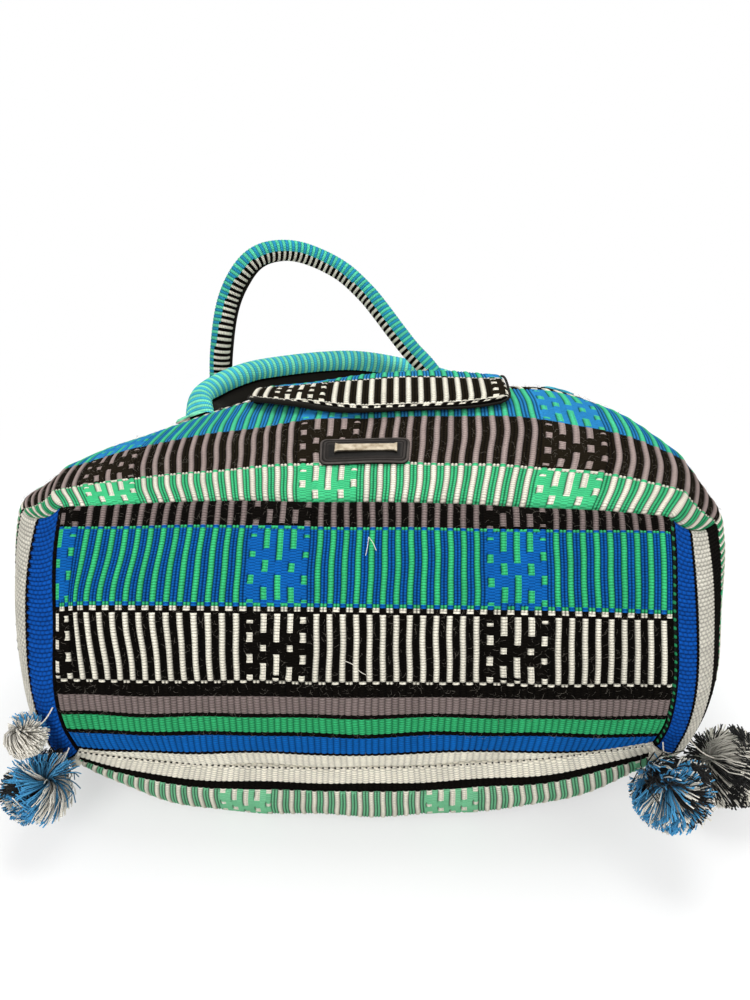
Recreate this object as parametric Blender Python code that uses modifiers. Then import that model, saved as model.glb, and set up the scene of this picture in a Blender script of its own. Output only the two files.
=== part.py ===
"""Handwoven striped tote bag, filled out and lying on its back panel.

Metres, +Z up. The origin is the middle of the flat patch that the back panel rests on. +X runs along
the bag's width and +Y from its base to its mouth, so the base panel faces -Y and the front panel is on top.
"""
import math

import bmesh
import bpy
from mathutils import Matrix, Vector

# Cloth
CLOTH = 0.003
RIB_HEIGHT = 0.0012
SEAM_GAP = 0.00025
FIT_GAP = 0.0004
LINING_CLOTH = 0.0012
LINING_GAP = 0.0008

# Base panel: its profile from the back edge (0) to the front edge (1), as (y, z), at the middle and at the sides
BASE_FRACTIONS = (0.0, 0.15, 0.34, 0.59, 0.83, 1.0)
BASE_MIDDLE = ((-0.164, 0.078), (-0.169, 0.108), (-0.166, 0.146), (-0.150, 0.193), (-0.117, 0.234),
               (-0.079, 0.267))
BASE_SIDE = ((-0.148, 0.082), (-0.153, 0.113), (-0.150, 0.151), (-0.133, 0.196), (-0.106, 0.233),
             (-0.079, 0.259))
BASE_HALF_WIDTHS = (0.227, 0.230, 0.229, 0.226, 0.227, 0.228)
BASE_DOME_POWER = 2.2
BASE_TILT = 0.013

# Gussets: they turn from the base's sides to the bag's sides round an arc
GUSSET_LENGTH = 0.330
GUSSET_START_ANGLE = math.radians(20.0)
GUSSET_RADIUS_FRONT = 0.116
GUSSET_RADIUS_BACK = 0.085
WRAP = 0.040
CORNER_DROP_FRONT = 0.026
CORNER_DROP_BACK = 0.034
CORNER_DROP_LENGTH = 0.022
MOUTH_CORNER_FRONT = Vector((0.275, GUSSET_LENGTH - 0.155, 0.172))
MOUTH_CORNER_BACK = Vector((0.275, GUSSET_LENGTH - 0.235, 0.060))
MOUTH_TUCK = 0.030
MOUTH_POWER = 2.2

# Front and back panels: their middle lines from the base's seam (0) to the mouth (1), as (y, z)
FRONT_FRACTIONS = (0.0, 0.14, 0.33, 0.52, 0.70, 0.85, 1.0)
FRONT_MIDDLE = ((-0.079, 0.267), (-0.040, 0.2840), (0.012, 0.3000), (0.065, 0.3040), (0.118, 0.2820),
                (0.160, 0.2520), (0.192, 0.2040))
FRONT_PEAK = 0.32
FRONT_POWER_LEFT = 1.95
FRONT_POWER_RIGHT = 3.2
BACK_FRACTIONS = (0.0, 0.10, 0.20, 0.30, 0.66, 0.82, 1.0)
BACK_MIDDLE = ((-0.164, 0.078), (-0.167, 0.041), (-0.152, 0.009), (-0.122, 0.0), (0.008, 0.0),
               (0.055, 0.022), (0.094, 0.070))
BACK_POWER = 4.2

# Ribs of the weave, counted between the seams' knots
BASE_KNOT_COUNT = 8
RIBS_PER_KNOT = 6
WRAP_KNOT_COUNT = 2
RIBS_PER_WRAP_KNOT = 2
GUSSET_KNOT_COUNT = 5
RIBS_PER_GUSSET_KNOT = 4
PANEL_ROWS = (0.0, 0.10, 0.24, 0.38, 0.52, 0.66, 0.82, 1.0)

# Flap: its rows over the mouth, and on the front panel as (row of the panel, share of the width)
FLAP_CENTRE = 0.006
FLAP_HALF_WIDTH = 0.109
FLAP_CLOTH = 0.004
FLAP_LIFT = 0.0060
FLAP_TIP_LIFT = 0.0030
FLAP_LIFTED_FROM = 0.38
FLAP_FREE_ROWS = (0.0, 0.35, 0.70)
FLAP_REACH = 0.090
FLAP_TURN = 0.060
FLAP_ROWS = ((1.0, 1.0), (0.82, 1.0), (0.66, 1.0), (0.52, 1.0), (0.38, 1.0), (0.342, 0.99), (0.325, 0.94))
FLAP_SLANT_LEFT = 0.130
FLAP_SLANT_RIGHT = 0.035
FLAP_COLUMNS = 10
RIBS_PER_FLAP_COLUMN = 2
FLAP_PIPING_RADIUS = 0.0026

# Snap
SNAP_RADIUS = 0.009
SNAP_THICKNESS = 0.0016
SNAP_FRACTION = 0.45

# Label
LABEL_SIZE = (0.0697, 0.0278)
LABEL_THICKNESS = 0.0018
LABEL_CORNER = 0.005
LABEL_FRACTION = 0.158
BAR_SIZE = (0.049, 0.0072)
BAR_RISE = 0.0028
BAR_THICKNESS = 0.0016
BAR_FLARE = 0.0015

# Handles
HANDLE_RADIUS = 0.013
HANDLE_TONGUE_WIDTH = 0.034
HANDLE_TONGUE_THICKNESS = 0.007
HANDLE_SIDES = 10
HANDLE_STATIONS = 22
HANDLE_FRONT_ROOT_X = 0.172
HANDLE_FRONT_ROOT_ROWS = (0.64, 0.70, 0.76)
HANDLE_FRONT_ROUTE = ((-0.1815, 0.168, 0.2415), (-0.1700, 0.197, 0.2455), (-0.1465, 0.226, 0.2480),
                      (-0.1185, 0.256, 0.2450), (-0.0660, 0.290, 0.2405), (-0.0221, 0.308, 0.2355),
                      (0.0263, 0.318, 0.2246), (0.0750, 0.312, 0.2140), (0.1200, 0.282, 0.2100),
                      (0.1550, 0.238, 0.2160), (0.1740, 0.195, 0.2250))
HANDLE_BACK_ROOT_X = 0.150
HANDLE_BACK_ROOT_ROWS = (0.82, 0.90, 0.98)
HANDLE_BACK_ROUTE = ((-0.158, 0.148, 0.098), (-0.170, 0.205, 0.158), (-0.1792, 0.245, 0.2285),
                     (-0.1755, 0.258, 0.278), (-0.1670, 0.273, 0.3183), (-0.1497, 0.283, 0.3490),
                     (-0.1286, 0.293, 0.3642), (-0.1001, 0.305, 0.3657), (-0.0720, 0.312, 0.3572),
                     (-0.0405, 0.312, 0.3408), (-0.0140, 0.304, 0.3190), (0.0025, 0.295, 0.3020),
                     (0.0210, 0.284, 0.2810), (0.0380, 0.276, 0.2620), (0.0580, 0.268, 0.2430),
                     (0.0800, 0.261, 0.2150), (0.1090, 0.248, 0.1760),
                     (0.1380, 0.218, 0.1320), (0.1520, 0.166, 0.0900))

# Pompoms: name, centre, radius, and the place on the gusset where the tie is stitched (down, along)
POMPOMS = (("left_big", (-0.2515, -0.169, 0.0525), 0.0292, (0.95, 0.004)),
           ("left_small", (-0.2576, -0.160, 0.0995), 0.0172, (0.75, 0.004)),
           ("right_inner", (0.2374, -0.1725, 0.0728), 0.0306, (0.95, 0.004)),
           ("right_outer", (0.3025, -0.120, 0.0420), 0.0330, (0.90, 0.030)))
POMPOM_MERIDIANS = 12
POMPOM_PARALLELS = 8
POMPOM_TUFT = 0.16
TIE_RADIUS = 0.0013

# Materials: colour, roughness, metallic
COLOURS = {
    "front_cloth": ((0.10, 0.42, 0.24, 1.0), 0.9, 0.0),
    "back_cloth": ((0.10, 0.42, 0.24, 1.0), 0.9, 0.0),
    "base_cloth": ((0.03, 0.25, 0.55, 1.0), 0.9, 0.0),
    "gusset_cloth": ((0.01, 0.09, 0.50, 1.0), 0.9, 0.0),
    "lining_cloth": ((0.02, 0.02, 0.02, 1.0), 0.9, 0.0),
    "flap_cloth": ((0.65, 0.62, 0.55, 1.0), 0.9, 0.0),
    "handle_cloth": ((0.03, 0.35, 0.50, 1.0), 0.9, 0.0),
    "black_cord": ((0.015, 0.015, 0.015, 1.0), 0.85, 0.0),
    "black_leather": ((0.02, 0.02, 0.02, 1.0), 0.5, 0.0),
    "champagne_metal": ((0.72, 0.64, 0.52, 1.0), 0.3, 1.0),
    "blue_thread": ((0.08, 0.32, 0.60, 1.0), 0.9, 0.0),
    "mixed_thread": ((0.25, 0.24, 0.22, 1.0), 0.9, 0.0),
    "pale_thread": ((0.75, 0.73, 0.68, 1.0), 0.9, 0.0),
}


def smooth_step(t):
    t = min(1.0, max(0.0, t))
    return t * t * (3.0 - 2.0 * t)


def mix(a, b, t):
    return a + (b - a) * t


def curve_value(knots, values, t):
    """A smooth curve through values at knots, read at t."""
    last = len(knots) - 1
    t = min(knots[-1], max(knots[0], t))
    i = max(k for k in range(last) if k == 0 or knots[k] <= t)

    def slope(k):
        low, high = max(0, k - 1), min(last, k + 1)
        return (values[high] - values[low]) / (knots[high] - knots[low])

    step = knots[i + 1] - knots[i]
    s = (t - knots[i]) / step
    return ((2 * s ** 3 - 3 * s ** 2 + 1) * values[i] + (s ** 3 - 2 * s ** 2 + s) * step * slope(i)
            + (-2 * s ** 3 + 3 * s ** 2) * values[i + 1] + (s ** 3 - s ** 2) * step * slope(i + 1))


def profile_point(knots, points, t):
    return Vector((0.0, curve_value(knots, [p[0] for p in points], t), curve_value(knots, [p[1] for p in points], t)))


def on_chords(curve, knots, t):
    """The point at t on the straight chords that join curve's points at knots."""
    for low, high in zip(knots, knots[1:]):
        if t <= high:
            break
    share = (t - low) / (high - low)
    return curve(low).lerp(curve(high), share)


def span(count, low=0.0, high=1.0):
    return [mix(low, high, i / count) for i in range(count + 1)]


BASE_ROWS = span(GUSSET_KNOT_COUNT)
BASE_COLUMNS = span(BASE_KNOT_COUNT, -1.0, 1.0)
WRAP_ROWS = span(WRAP_KNOT_COUNT, 0.0, WRAP)
GUSSET_ROWS = WRAP_ROWS + [mix(WRAP, GUSSET_LENGTH, t) for t in PANEL_ROWS[1:]]


def base_surface(across, up):
    """Base panel: across -1 to 1, up 0 at the back panel's seam to 1 at the front panel's."""
    middle = profile_point(BASE_FRACTIONS, BASE_MIDDLE, up)
    side = profile_point(BASE_FRACTIONS, BASE_SIDE, up)
    point = middle.lerp(side, abs(across) ** BASE_DOME_POWER)
    point.x = across * curve_value(BASE_FRACTIONS, BASE_HALF_WIDTHS, up)
    point.z += BASE_TILT * across * (1.0 - up) ** 1.5
    return point


def base_side_edge(side, up):
    return on_chords(lambda t: base_surface(side, t), BASE_ROWS, up)


def gusset_surface(side, down, along):
    """Gusset: down 0 at the front seam to 1 at the back seam, along in metres from the base."""
    start = base_side_edge(side, 1.0 - down)
    radius = mix(GUSSET_RADIUS_FRONT, GUSSET_RADIUS_BACK, down)
    arc = radius * (math.pi / 2 - GUSSET_START_ANGLE)
    angle = GUSSET_START_ANGLE + min(along, arc) / radius
    x = abs(start.x) + radius * (math.sin(angle) - math.sin(GUSSET_START_ANGLE))
    y = start.y + radius * (math.cos(GUSSET_START_ANGLE) - math.cos(angle))
    mouth = MOUTH_CORNER_FRONT.lerp(MOUTH_CORNER_BACK, down)
    mouth.x -= MOUTH_TUCK * math.sin(math.pi * down)
    share = max(0.0, along - arc) / (GUSSET_LENGTH - arc)
    settle = 1.0 - math.exp(-along / CORNER_DROP_LENGTH)
    drop = settle * (CORNER_DROP_FRONT * (1.0 - down) ** 2 + CORNER_DROP_BACK * down ** 2)
    z = mix(start.z - drop, mouth.z, smooth_step(along / GUSSET_LENGTH))
    return Vector((side * mix(x, mouth.x, smooth_step(share)), mix(y, mouth.y, share), z))


def gusset_seam(side, down, along):
    return on_chords(lambda q: gusset_surface(side, down, q), GUSSET_ROWS, along)


CORNER_U = BASE_HALF_WIDTHS[-1] / (BASE_HALF_WIDTHS[-1] + WRAP)


def panel_columns():
    """The knots across the front and back panels: over the base, and round onto each gusset."""
    wrap = [CORNER_U + (1.0 - CORNER_U) * q / WRAP for q in WRAP_ROWS[1:]]
    return [-u for u in reversed(wrap)] + [CORNER_U * a for a in BASE_COLUMNS] + wrap


PANEL_COLUMNS = panel_columns()


def panel_seam(across, up, down):
    """The edge of the front (up 1, down 0) or back (up 0, down 1) panel that is sewn to the base and gussets."""
    if abs(across) <= CORNER_U:
        return on_chords(lambda a: base_surface(a, up), BASE_COLUMNS, across / CORNER_U)
    side = math.copysign(1.0, across)
    return gusset_seam(side, down, WRAP * (abs(across) - CORNER_U) / (1.0 - CORNER_U))


def mouth_edge(across, middle, down):
    corner = gusset_surface(math.copysign(1.0, across), down, GUSSET_LENGTH)
    point = middle.lerp(corner, abs(across) ** MOUTH_POWER)
    point.x = abs(corner.x) * across
    return point


def panel_surface(across, t, down, middle_line, fall):
    """A front or back panel between its four edges, with fall giving how it drops from its middle line."""
    side = math.copysign(1.0, across)
    share = fall(across)
    up = 1.0 - down

    def edge(s):
        return gusset_seam(side, down, mix(WRAP, GUSSET_LENGTH, s))

    def ruled(s):
        point = middle_line(s).lerp(edge(s), share)
        point.x = abs(across) * edge(s).x
        return point

    low = panel_seam(across, up, down) - ruled(0.0)
    high = on_chords(lambda u: mouth_edge(u, middle_line(1.0), down), PANEL_COLUMNS, across) - ruled(1.0)
    point = ruled(t) + low * (1.0 - t) + high * t
    point.z = max(point.z, 0.0)
    return point


def front_middle(t):
    return profile_point(FRONT_FRACTIONS, FRONT_MIDDLE, t)


def back_middle(t):
    return profile_point(BACK_FRACTIONS, BACK_MIDDLE, t)


def front_fall(across):
    if across < FRONT_PEAK:
        return ((FRONT_PEAK - across) / (1.0 + FRONT_PEAK)) ** FRONT_POWER_LEFT
    return ((across - FRONT_PEAK) / (1.0 - FRONT_PEAK)) ** FRONT_POWER_RIGHT


def front_surface(across, t):
    return panel_surface(across, t, 0.0, front_middle, front_fall)


def back_surface(across, t):
    return panel_surface(across, t, 1.0, back_middle, lambda u: abs(u) ** BACK_POWER)


def ribbed_columns(knots, ribs):
    """Column places with two columns to a rib, so that each knot falls in a groove."""
    columns = [knots[0]]
    for low, high, count in zip(knots, knots[1:], ribs):
        columns += span(2 * count, low, high)[1:]
    return columns


def collection(name):
    made = bpy.data.collections.new(name)
    bpy.context.scene.collection.children.link(made)
    return made


def material(name):
    colour, roughness, metallic = COLOURS[name]
    made = bpy.data.materials.get(name) or bpy.data.materials.new(name)
    made.use_nodes = True
    made.diffuse_color = colour
    shader = made.node_tree.nodes["Principled BSDF"]
    shader.inputs["Base Color"].default_value = colour
    shader.inputs["Roughness"].default_value = roughness
    shader.inputs["Metallic"].default_value = metallic
    return made


def finish_object(obj, surface, home):
    obj.data.materials.clear()
    obj.data.materials.append(material(surface))
    home.objects.link(obj)
    return obj


def object_from(bm, name, surface, home):
    mesh = bpy.data.meshes.new(name)
    bmesh.ops.recalc_face_normals(bm, faces=bm.faces[:])
    bm.to_mesh(mesh)
    bm.free()
    return finish_object(bpy.data.objects.new(name, mesh), surface, home)


def net_triangles(net):
    for low, high in zip(net, net[1:]):
        for i in range(len(low) - 1):
            yield low[i], low[i + 1], high[i + 1]
            yield low[i], high[i + 1], high[i]


class Cage:
    """The bag's five panels as coarse nets, welded along their seams, to set the cloth's inner side."""

    def __init__(self):
        self.bm = bmesh.new()
        self.nets = {}

    def vertex(self, point):
        near = [v for v in self.bm.verts if (v.co - point).length < 0.0001]
        return near[0] if near else self.bm.verts.new(point)

    def add(self, name, surface, columns, rows):
        net = [[self.vertex(surface(u, t)) for u in columns] for t in rows]
        self.nets[name] = net
        for triangle in net_triangles(net):
            self.bm.faces.new(triangle)

    def close(self):
        bmesh.ops.recalc_face_normals(self.bm, faces=self.bm.faces[:])
        self.bm.normal_update()

    def below(self, vertex, depth):
        return vertex.co - vertex.normal * depth * vertex.calc_shell_factor()


def pulled_in(grid, gap):
    """A grid of points with its outer points moved inwards by a seam's gap."""
    rows, columns = len(grid), len(grid[0])
    moved = [[p.copy() for p in row] for row in grid]
    for j in range(rows):
        for i, inner in ((0, 1), (columns - 1, columns - 2)):
            moved[j][i] += (grid[j][inner] - grid[j][i]).normalized() * gap
    for i in range(columns):
        for j, inner in ((0, 1), (rows - 1, rows - 2)):
            moved[j][i] += (grid[inner][i] - grid[j][i]).normalized() * gap
    return moved


SEAM_WALK = Vector((0.6, 1.0, 0.35))


def close_rim(bm, fine, ends):
    """Triangles between a run of outer points and the two inner points under its ends.

    They fan out from the inner point that SEAM_WALK meets first, so that two panels' rims match along a seam.
    """
    apex, far = sorted(ends, key=lambda v: Vector((abs(v.co.x), v.co.y, v.co.z)).dot(SEAM_WALK))
    run = fine if apex is ends[0] else fine[::-1]
    for a, b in zip(run, run[1:]):
        bm.faces.new((apex, a, b))
    bm.faces.new((apex, run[-1], far))


def ribbed_sheet(name, outer, inner, knot_columns, surface, home):
    """A closed cloth panel: a fine ribbed outer grid, a coarse inner one and the rims between them.

    knot_columns gives, for each column of the inner grid, the outer column that lies over it.
    """
    bm = bmesh.new()
    top = [[bm.verts.new(p) for p in row] for row in outer]
    under = [[bm.verts.new(p) for p in row] for row in inner]
    for low, high in zip(top, top[1:]):
        for i in range(len(low) - 1):
            bm.faces.new((low[i], low[i + 1], high[i + 1], high[i]))
    for triangle in net_triangles(under):
        bm.faces.new(triangle[::-1])
    for end in (0, -1):
        for j in range(len(top) - 1):
            close_rim(bm, [top[j][end], top[j + 1][end]], [under[j][end], under[j + 1][end]])
        for k in range(len(knot_columns) - 1):
            close_rim(bm, top[end][knot_columns[k]:knot_columns[k + 1] + 1], under[end][k:k + 2])
    return object_from(bm, name, surface, home)


def surface_normal(surface, u, t, u_range, t_range, outside):
    """The outward normal of surface(u, t), where outside gives a point on the far side of it."""
    du, dt = (u_range[1] - u_range[0]) * 0.01, (t_range[1] - t_range[0]) * 0.01
    u0, u1 = max(u - du, u_range[0]), min(u + du, u_range[1])
    t0, t1 = max(t - dt, t_range[0]), min(t + dt, t_range[1])
    normal = (surface(u1, t) - surface(u0, t)).cross(surface(u, t1) - surface(u, t0)).normalized()
    here = surface(u, t)
    return normal if normal.dot(here - outside) > 0.0 else -normal


BAG_HEART = Vector((0.0, 0.0, 0.13))


def build_panel(cage, name, surface, knots, ribs, rows, cloth, home):
    """One of the bag's panels, with ribs that run from its first row to its last."""
    columns = ribbed_columns(knots, ribs)
    outer = []
    for t in rows:
        row = []
        for i, u in enumerate(columns):
            point = surface(u, t)
            if i % 2 and t not in (rows[0], rows[-1]):
                normal = surface_normal(surface, u, t, (knots[0], knots[-1]), (rows[0], rows[-1]), BAG_HEART)
                point = point + normal * RIB_HEIGHT
            point.z = max(point.z, 0.0)
            row.append(point)
        outer.append(row)
    inner = [[cage.below(v, CLOTH) for v in row] for row in cage.nets[name]]
    places = [0]
    for count in ribs:
        places.append(places[-1] + 2 * count)
    return ribbed_sheet(name, pulled_in(outer, SEAM_GAP), pulled_in(inner, SEAM_GAP), places, cloth, home)


PANELS = (
    ("base_panel", base_surface, BASE_COLUMNS, [RIBS_PER_KNOT] * BASE_KNOT_COUNT, BASE_ROWS, "base_cloth"),
    ("front_panel", front_surface, PANEL_COLUMNS,
     [RIBS_PER_WRAP_KNOT] * WRAP_KNOT_COUNT + [RIBS_PER_KNOT] * BASE_KNOT_COUNT + [RIBS_PER_WRAP_KNOT] * WRAP_KNOT_COUNT,
     list(PANEL_ROWS), "front_cloth"),
    ("back_panel", back_surface, PANEL_COLUMNS,
     [RIBS_PER_WRAP_KNOT] * WRAP_KNOT_COUNT + [RIBS_PER_KNOT] * BASE_KNOT_COUNT + [RIBS_PER_WRAP_KNOT] * WRAP_KNOT_COUNT,
     list(PANEL_ROWS), "back_cloth"),
    ("gusset_left", lambda down, along: gusset_surface(-1.0, down, along), span(GUSSET_KNOT_COUNT),
     [RIBS_PER_GUSSET_KNOT] * GUSSET_KNOT_COUNT, GUSSET_ROWS, "gusset_cloth"),
    ("gusset_right", lambda down, along: gusset_surface(1.0, down, along), span(GUSSET_KNOT_COUNT),
     [RIBS_PER_GUSSET_KNOT] * GUSSET_KNOT_COUNT, GUSSET_ROWS, "gusset_cloth"),
)


def build_lining(cage, home):
    """The inner bag: the panels' cage moved inside the cloth, thickened inwards."""
    bm = bmesh.new()
    made = {v: bm.verts.new(cage.below(v, CLOTH + LINING_GAP)) for v in cage.bm.verts}
    for face in cage.bm.faces:
        bm.faces.new([made[v] for v in face.verts])
    lining = object_from(bm, "lining", "lining_cloth", home)
    shell = lining.modifiers.new("cloth", "SOLIDIFY")
    shell.thickness = LINING_CLOTH
    shell.offset = -1.0
    return lining


def tube(name, points, radius, surface, home, cyclic=False, resolution=1):
    curve = bpy.data.curves.new(name, "CURVE")
    curve.dimensions = "3D"
    curve.bevel_depth = radius
    curve.bevel_resolution = resolution
    curve.use_fill_caps = not cyclic
    spline = curve.splines.new("POLY")
    spline.points.add(len(points) - 1)
    for place, point in zip(spline.points, points):
        place.co = (*point, 1.0)
    spline.use_cyclic_u = cyclic
    return finish_object(bpy.data.objects.new(name, curve), surface, home)


def front_frame(across, t):
    """A point on the front panel's nominal face with its outward normal."""
    point = front_surface(across, t)
    return point, surface_normal(front_surface, across, t, (-1.0, 1.0), (0.0, 1.0), BAG_HEART)


def across_at(x, t):
    """How far across the front panel the place x lies, at row t."""
    return x / front_surface(1.0, t).x


def over_mouth(x, share):
    """The flap's under side between the back panel's mouth edge (0) and the front panel's (1), with its normal."""
    across = x / back_surface(1.0, 1.0).x
    edge, before = back_surface(across, 1.0), back_surface(across, 0.97)
    ahead = (edge - before).normalized()
    outward = surface_normal(back_surface, across, 1.0, (-1.0, 1.0), (0.0, 1.0), BAG_HEART)
    root = edge + ahead * FIT_GAP - outward * CLOTH
    crest, crest_normal = front_frame(across_at(x, 1.0), 1.0)
    crest = crest + crest_normal * FLAP_LIFT
    turn = (front_surface(across_at(x, 1.0), 1.0) - front_surface(across_at(x, 0.97), 0.97)).normalized()
    a, b = root + ahead * FLAP_REACH, crest + turn * FLAP_TURN
    rest = 1.0 - share
    point = root * rest ** 3 + a * 3 * share * rest ** 2 + b * 3 * share ** 2 * rest + crest * share ** 3
    slope = (a - root) * rest ** 2 + (b - a) * 2 * share * rest + (crest - b) * share ** 2
    return Vector((x, point.y, point.z)), Vector((0.0, slope.z, -slope.y)).normalized()


FLAP_ROUTE = [("mouth", share, 1.0) for share in FLAP_FREE_ROWS] + [("front", t, width) for t, width in FLAP_ROWS]


def flap_surface(share, row):
    """A point on the flap's under side, share -1 to 1 across it, with its outward normal."""
    place, t, width = FLAP_ROUTE[row]
    x = FLAP_CENTRE + share * width * FLAP_HALF_WIDTH
    if place == "mouth":
        return over_mouth(x, t)
    slant = FLAP_SLANT_LEFT * min(0.0, share) ** 2 + FLAP_SLANT_RIGHT * max(0.0, share) ** 4
    t += slant * smooth_step((1.0 - t) / (1.0 - FLAP_LIFTED_FROM))
    point, normal = front_frame(across_at(x, t), t)
    lying = smooth_step((t - FLAP_ROWS[-1][0]) / (FLAP_LIFTED_FROM - FLAP_ROWS[-1][0]))
    return point + normal * mix(FLAP_TIP_LIFT, FLAP_LIFT, lying), normal


def build_flap(home):
    knots = span(FLAP_COLUMNS, -1.0, 1.0)
    columns = ribbed_columns(knots, [RIBS_PER_FLAP_COLUMN] * FLAP_COLUMNS)
    last = len(FLAP_ROUTE) - 1
    outer, inner = [], []
    for row in range(last + 1):
        line = []
        for i, share in enumerate(columns):
            point, normal = flap_surface(share, row)
            rib = RIB_HEIGHT if i % 2 and 0 < row < last else 0.0
            line.append(point + normal * (FLAP_CLOTH + rib))
        outer.append(line)
        inner.append([flap_surface(share, row)[0] for share in knots])
    places = [2 * RIBS_PER_FLAP_COLUMN * k for k in range(FLAP_COLUMNS + 1)]
    ribbed_sheet("flap", outer, inner, places, "flap_cloth", home)
    outline = [(-1.0, row) for row in range(last)] + [(share, last) for share in knots]
    outline += [(1.0, row) for row in range(last - 1, -1, -1)]
    build_flap_piping([flap_surface(share, row) for share, row in outline], home)


def build_flap_piping(outline, home):
    """The black cord sewn round the flap's two sides and its tip, beside the edge that outline gives."""
    edge = [point + normal * FLAP_CLOTH / 2 for point, normal in outline]
    cord = []
    for i, (point, normal) in enumerate(outline):
        sides = []
        for a, b in ((i - 1, i), (i, i + 1)):
            if a >= 0 and b < len(edge):
                sides.append((edge[b] - edge[a]).cross(normal).normalized())
        away = sum(sides, Vector()).normalized()
        cord.append(edge[i] + away * (FLAP_PIPING_RADIUS + FIT_GAP) / away.dot(sides[0]))
    tube("flap_piping", cord, FLAP_PIPING_RADIUS, "black_cord", home)


def facing(point, normal, up_hint):
    """The matrix of a frame at point whose Z is normal and whose Y follows up_hint."""
    z = normal.normalized()
    x = up_hint.cross(z).normalized()
    y = z.cross(x)
    return Matrix.Translation(point) @ Matrix((x, y, z)).transposed().to_4x4()


def front_facet(across, t):
    """A frame on the flat facet of the front panel between its rows, Y towards the mouth."""
    low = max(r for r in PANEL_ROWS if r <= t)
    high = min(r for r in PANEL_ROWS if r > t)
    a, b = front_surface(across, low), front_surface(across, high)
    here = a.lerp(b, (t - low) / (high - low))
    side = front_surface(across + 0.05, t) - front_surface(across - 0.05, t)
    normal = side.cross(b - a)
    return facing(here, normal if normal.z > 0 else -normal, b - a)


def build_snap(home):
    frame = front_facet(0.0, SNAP_FRACTION)
    seat = RIB_HEIGHT + FIT_GAP
    for name, height in (("snap_socket", seat), ("snap_stud", seat + SNAP_THICKNESS + FIT_GAP)):
        bm = bmesh.new()
        bmesh.ops.create_cone(bm, cap_ends=True, segments=12, radius1=SNAP_RADIUS, radius2=SNAP_RADIUS,
                              depth=SNAP_THICKNESS)
        disc = object_from(bm, name, "champagne_metal", home)
        disc.matrix_world = frame @ Matrix.Translation((0.0, 0.0, height + SNAP_THICKNESS / 2))


def plate(name, outline, thickness, surface, home):
    curve = bpy.data.curves.new(name, "CURVE")
    curve.dimensions = "2D"
    curve.fill_mode = "BOTH"
    curve.extrude = thickness / 2
    spline = curve.splines.new("POLY")
    spline.points.add(len(outline) - 1)
    for place, (x, y) in zip(spline.points, outline):
        place.co = (x, y, 0.0, 1.0)
    spline.use_cyclic_u = True
    return finish_object(bpy.data.objects.new(name, curve), surface, home)


def rounded_rectangle(size, radius, steps=4):
    points = []
    for quarter, (sx, sy) in enumerate(((1, 1), (-1, 1), (-1, -1), (1, -1))):
        for k in range(steps + 1):
            angle = math.pi / 2 * (quarter + k / steps)
            points.append((sx * (size[0] / 2 - radius) + radius * math.cos(angle),
                           sy * (size[1] / 2 - radius) + radius * math.sin(angle)))
    return points


def build_label(home):
    """The leather label and the metal bar with flared ends that stands on it."""
    frame = front_facet(0.0, LABEL_FRACTION)
    seat = RIB_HEIGHT + FIT_GAP
    leather = plate("label_leather", rounded_rectangle(LABEL_SIZE, LABEL_CORNER), LABEL_THICKNESS,
                    "black_leather", home)
    leather.matrix_world = frame @ Matrix.Translation((0.0, 0.0, seat + LABEL_THICKNESS / 2))
    half, height, flare = BAR_SIZE[0] / 2, BAR_SIZE[1] / 2, BAR_FLARE
    outline = [(half, height + flare), (half - 2 * flare, height), (2 * flare - half, height),
               (-half, height + flare), (-half, -height - flare), (2 * flare - half, -height),
               (half - 2 * flare, -height), (half, -height - flare)]
    bar = plate("label_bar", outline, BAR_THICKNESS, "champagne_metal", home)
    height = seat + LABEL_THICKNESS + FIT_GAP + BAR_THICKNESS / 2
    bar.matrix_world = frame @ Matrix.Translation((0.0, BAR_RISE, height))


def route_point(points, t):
    knots = span(len(points) - 1)
    return Vector([curve_value(knots, [p[axis] for p in points], t) for axis in range(3)])


def tongue(surface, side, root_x, rows, lift):
    """The places where a handle's flat end lies on its panel, from its sewn tip to where it leaves the cloth."""
    places = []
    for t in rows:
        across = side * root_x / abs(surface(1.0, t).x)
        normal = surface_normal(surface, across, t, (-1.0, 1.0), (0.0, 1.0), BAG_HEART)
        places.append((surface(across, t) + normal * lift, normal))
    return places


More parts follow.
